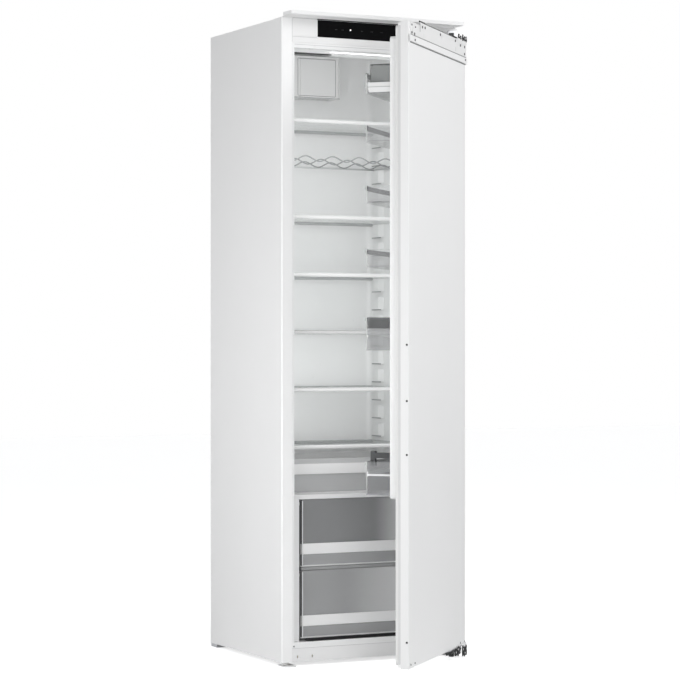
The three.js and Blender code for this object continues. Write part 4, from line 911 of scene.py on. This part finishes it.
def door_screws():
    """Screws of the bracket and the rail, and plugs in the holes of the door's pan."""
    bm = bmesh.new()
    for x, z in (
        (-427, 1705), (-402.5, 1706), (-259, 1706.4), (-112, 1707.8), (-61, 1701),
        (-18, 1701.7), (-18, 1682.2), (-497.6, 1678.6), (-522, 1679),
    ):
        add_screw(bm, door_point(x, BRACKET_FACE, z), OUTWARD)
    for x, z in ((-522, 1699.5), (-490.4, 1697)):
        add_screw(bm, door_point(x, BRACKET_FACE, z), OUTWARD, radius=0.0026)
    for x, z in ((-497.6, 1662.5), (-14.8, 1666)):
        add_screw(bm, door_point(x, RAIL_FACE, z), OUTWARD, radius=0.003)
    add_piece("bracket_screws", bm, "screw_steel", "door")
    bm = bmesh.new()
    face_plug = [(0.0026, 0.0), (0.0026, 0.0005), (0.0021, 0.0008), (0.0012, 0.0004)]
    for x, z in ((-521.0, 45.0), (-484.0, 44.4), (-51.0, 43.4), (-8.0, 42.0)):
        add_profile(bm, facing(door_point(x, DOOR_FACE, z), OUTWARD), face_plug, 16)
    edge_plug = [(0.0028, 0.0), (0.0028, 0.0005), (0.0022, 0.0009), (0.0010, 0.0004)]
    for z in (872, 727, 588, 104):
        add_profile(bm, facing(door_point(DOOR_EDGE, -3.0, z), -ALONG), edge_plug, 16)
    add_piece("door_hole_plugs", bm, "hole_dark", "door")


def bottle_wires():
    """The bottle rack with its waves bent smoothly."""
    rail_x, rail_z, rail_radius, wire_radius = 0.230, 1.3878, 0.0026, 0.0017
    rear, front = 0.180, -0.1266
    bm = bmesh.new()
    for side in (-1, 1):
        ends = [Vector((side * rail_x, y, rail_z)) for y in (front, rear + rail_radius)]
        add_tube(bm, ends, rail_radius, EAST)
    add_tube(bm, [Vector((x, rear, rail_z)) for x in (-rail_x, rail_x)], rail_radius, FORWARD)
    add_piece("bottle_rack_rails", bm, "rack_rail", "cabinet", smooth=True)
    bm = bmesh.new()
    waves, steps, bow, swing = 5.5, 132, 0.0010, 0.0072
    for y, phase in ((-0.124, 1.41), (-0.024, 0.38), (0.076, 0.66)):
        points = []
        for i in range(steps + 1):
            share = i / steps
            wave = math.sin(share * waves * math.pi * 2 + phase)
            rise = bow * math.sin(share * math.pi) + swing * wave
            points.append(Vector(((share * 2 - 1) * rail_x, y, rail_z + rise)))
        add_tube(bm, points, wire_radius, FORWARD)
    piece = add_piece("bottle_wires", bm, "chromed_wire", "cabinet", smooth=True)
    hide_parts("bottle_rack")


def control_marks():
    """The light and the touch marks on the black glass."""

    def add_dot(bm, x, z, radius):
        place = facing(Vector((x, CONTROL_FACE, z)), FORWARD)
        add_profile(bm, place, [(radius, 0.0), (radius, 0.0001), (radius * 0.8, 0.00016)], 14)

    bm = bmesh.new()
    add_dot(bm, -0.064, 1.735, 0.0017)
    add_piece("control_light", bm, "soft_white_light", "cabinet")
    bm = bmesh.new()
    for x in (-0.11, -0.09, -0.03, 0.0, 0.03):
        add_dot(bm, x, 1.734, 0.0008)
        add_dot(bm, x + 0.004, 1.734, 0.0008)
    add_piece("control_marks", bm, "screw_steel", "cabinet")


# Stage


def add_light(name, place, aim, power, size, size_y):
    """A soft box, itself out of sight."""
    data = bpy.data.lights.new(name, "AREA")
    data.energy = power
    data.shape = "RECTANGLE"
    data.size = size
    data.size_y = size_y
    obj = bpy.data.objects.new(name, data)
    obj.location = place
    direction = Vector(aim) - Vector(place)
    obj.rotation_euler = direction.to_track_quat("-Z", "Y").to_euler()
    obj.visible_camera = False
    scene.collection.objects.link(obj)


def add_world(strength):
    """White to the eye and to reflections, a softer grey as light."""
    world = bpy.data.worlds.new("studio")
    scene.world = world
    world.use_nodes = True
    tree = world.node_tree
    tree.nodes.clear()
    out = tree.nodes.new("ShaderNodeOutputWorld")
    plain = tree.nodes.new("ShaderNodeBackground")
    plain.inputs["Color"].default_value = (1.0, 1.0, 1.0, 1.0)
    plain.inputs["Strength"].default_value = 1.0
    soft = tree.nodes.new("ShaderNodeBackground")
    soft.inputs["Color"].default_value = (0.97, 0.985, 1.0, 1.0)
    soft.inputs["Strength"].default_value = strength
    path = tree.nodes.new("ShaderNodeLightPath")
    seen = path.outputs["Is Camera Ray"]
    for kind in ("Is Glossy Ray", "Is Transmission Ray"):
        seen = calculate(tree, "MAXIMUM", seen, path.outputs[kind])
    mix = tree.nodes.new("ShaderNodeMixShader")
    tree.links.new(seen, mix.inputs[0])
    tree.links.new(soft.outputs[0], mix.inputs[1])
    tree.links.new(plain.outputs[0], mix.inputs[2])
    link(tree, mix, 0, out, "Surface")


def add_floor():
    """A pale floor that shows white apart from a soft shadow."""
    bm = bmesh.new()
    half_width = 14.0
    bmesh.ops.create_grid(bm, x_segments=4, y_segments=4, size=half_width)
    mesh = bpy.data.meshes.new("floor")
    bm.to_mesh(mesh)
    bm.free()
    floor = bpy.data.objects.new("floor", mesh)
    floor.location = (0.0, 0.0, -0.0005)
    scene.collection.objects.link(floor)
    mat, tree = new_material("pale_floor")
    out = tree.nodes.new("ShaderNodeOutputMaterial")
    bsdf = tree.nodes.new("ShaderNodeBsdfPrincipled")
    coords = tree.nodes.new("ShaderNodeTexCoord")
    tint = ramp(tree, noise(tree, coords, 0.8), (0.3, grey(0.93)), (0.7, grey(0.95)))
    link(tree, tint, "Color", bsdf, "Base Color")
    bsdf.inputs["Roughness"].default_value = 0.7
    bsdf.inputs["Specular IOR Level"].default_value = 0.2
    glow = tree.nodes.new("ShaderNodeEmission")
    glow.inputs["Color"].default_value = (1.0, 1.0, 1.0, 1.0)
    glow.inputs["Strength"].default_value = 0.66
    both = tree.nodes.new("ShaderNodeAddShader")
    tree.links.new(bsdf.outputs[0], both.inputs[0])
    tree.links.new(glow.outputs[0], both.inputs[1])
    path = tree.nodes.new("ShaderNodeLightPath")
    mix = tree.nodes.new("ShaderNodeMixShader")
    link(tree, path, "Is Camera Ray", mix, 0)
    tree.links.new(bsdf.outputs[0], mix.inputs[1])
    tree.links.new(both.outputs[0], mix.inputs[2])
    link(tree, mix, 0, out, "Surface")
    floor.data.materials.append(mat)


def add_lights():
    """Soft boxes round the object, and two inside the mouth that stand for the lit room."""
    add_light("left_box", (-1.9, -0.5, 0.74), (-0.27, 0.0, 0.74), 10.0, 0.9, 0.8)
    add_light("left_front_box", (-2.4, -2.4, 0.9), (0.0, 0.0, 0.9), 14.0, 1.0, 0.8)
    add_light("front_left_high_box", (-1.8, -3.8, 3.0), (0.0, 0.0, 0.9), 26.0, 1.8, 1.4)
    add_light("front_box", (-0.9, -4.4, 0.9), (0.0, 0.0, 0.9), 28.0, 1.4, 1.2)
    add_light("right_high_box", (2.0, -2.6, 3.2), (0.1, -0.4, 1.0), 45.0, 1.8, 1.4)
    add_light("right_box", (2.2, -2.4, 1.15), (0.1, -0.4, 1.1), 7.0, 1.2, 1.0)
    add_light("room_box", (0.0, -0.236, 1.15), (0.0, 0.2, 1.15), 1.30, 0.42, 1.0)
    add_light("room_low_box", (0.0, -0.2, 0.75), (0.0, 0.2, 0.75), 0.27, 0.42, 0.25)


add_camera()
add_world(strength=0.28)
add_floor()
add_lights()
add_case_materials()
add_clear_materials()
add_bin_materials()
dress_nodes()
cabinet_seams()
drawer_edges()
door_seams()
hinge_links()
door_screws()
bottle_wires()
control_marks()
scene.view_settings.view_transform = "Standard"
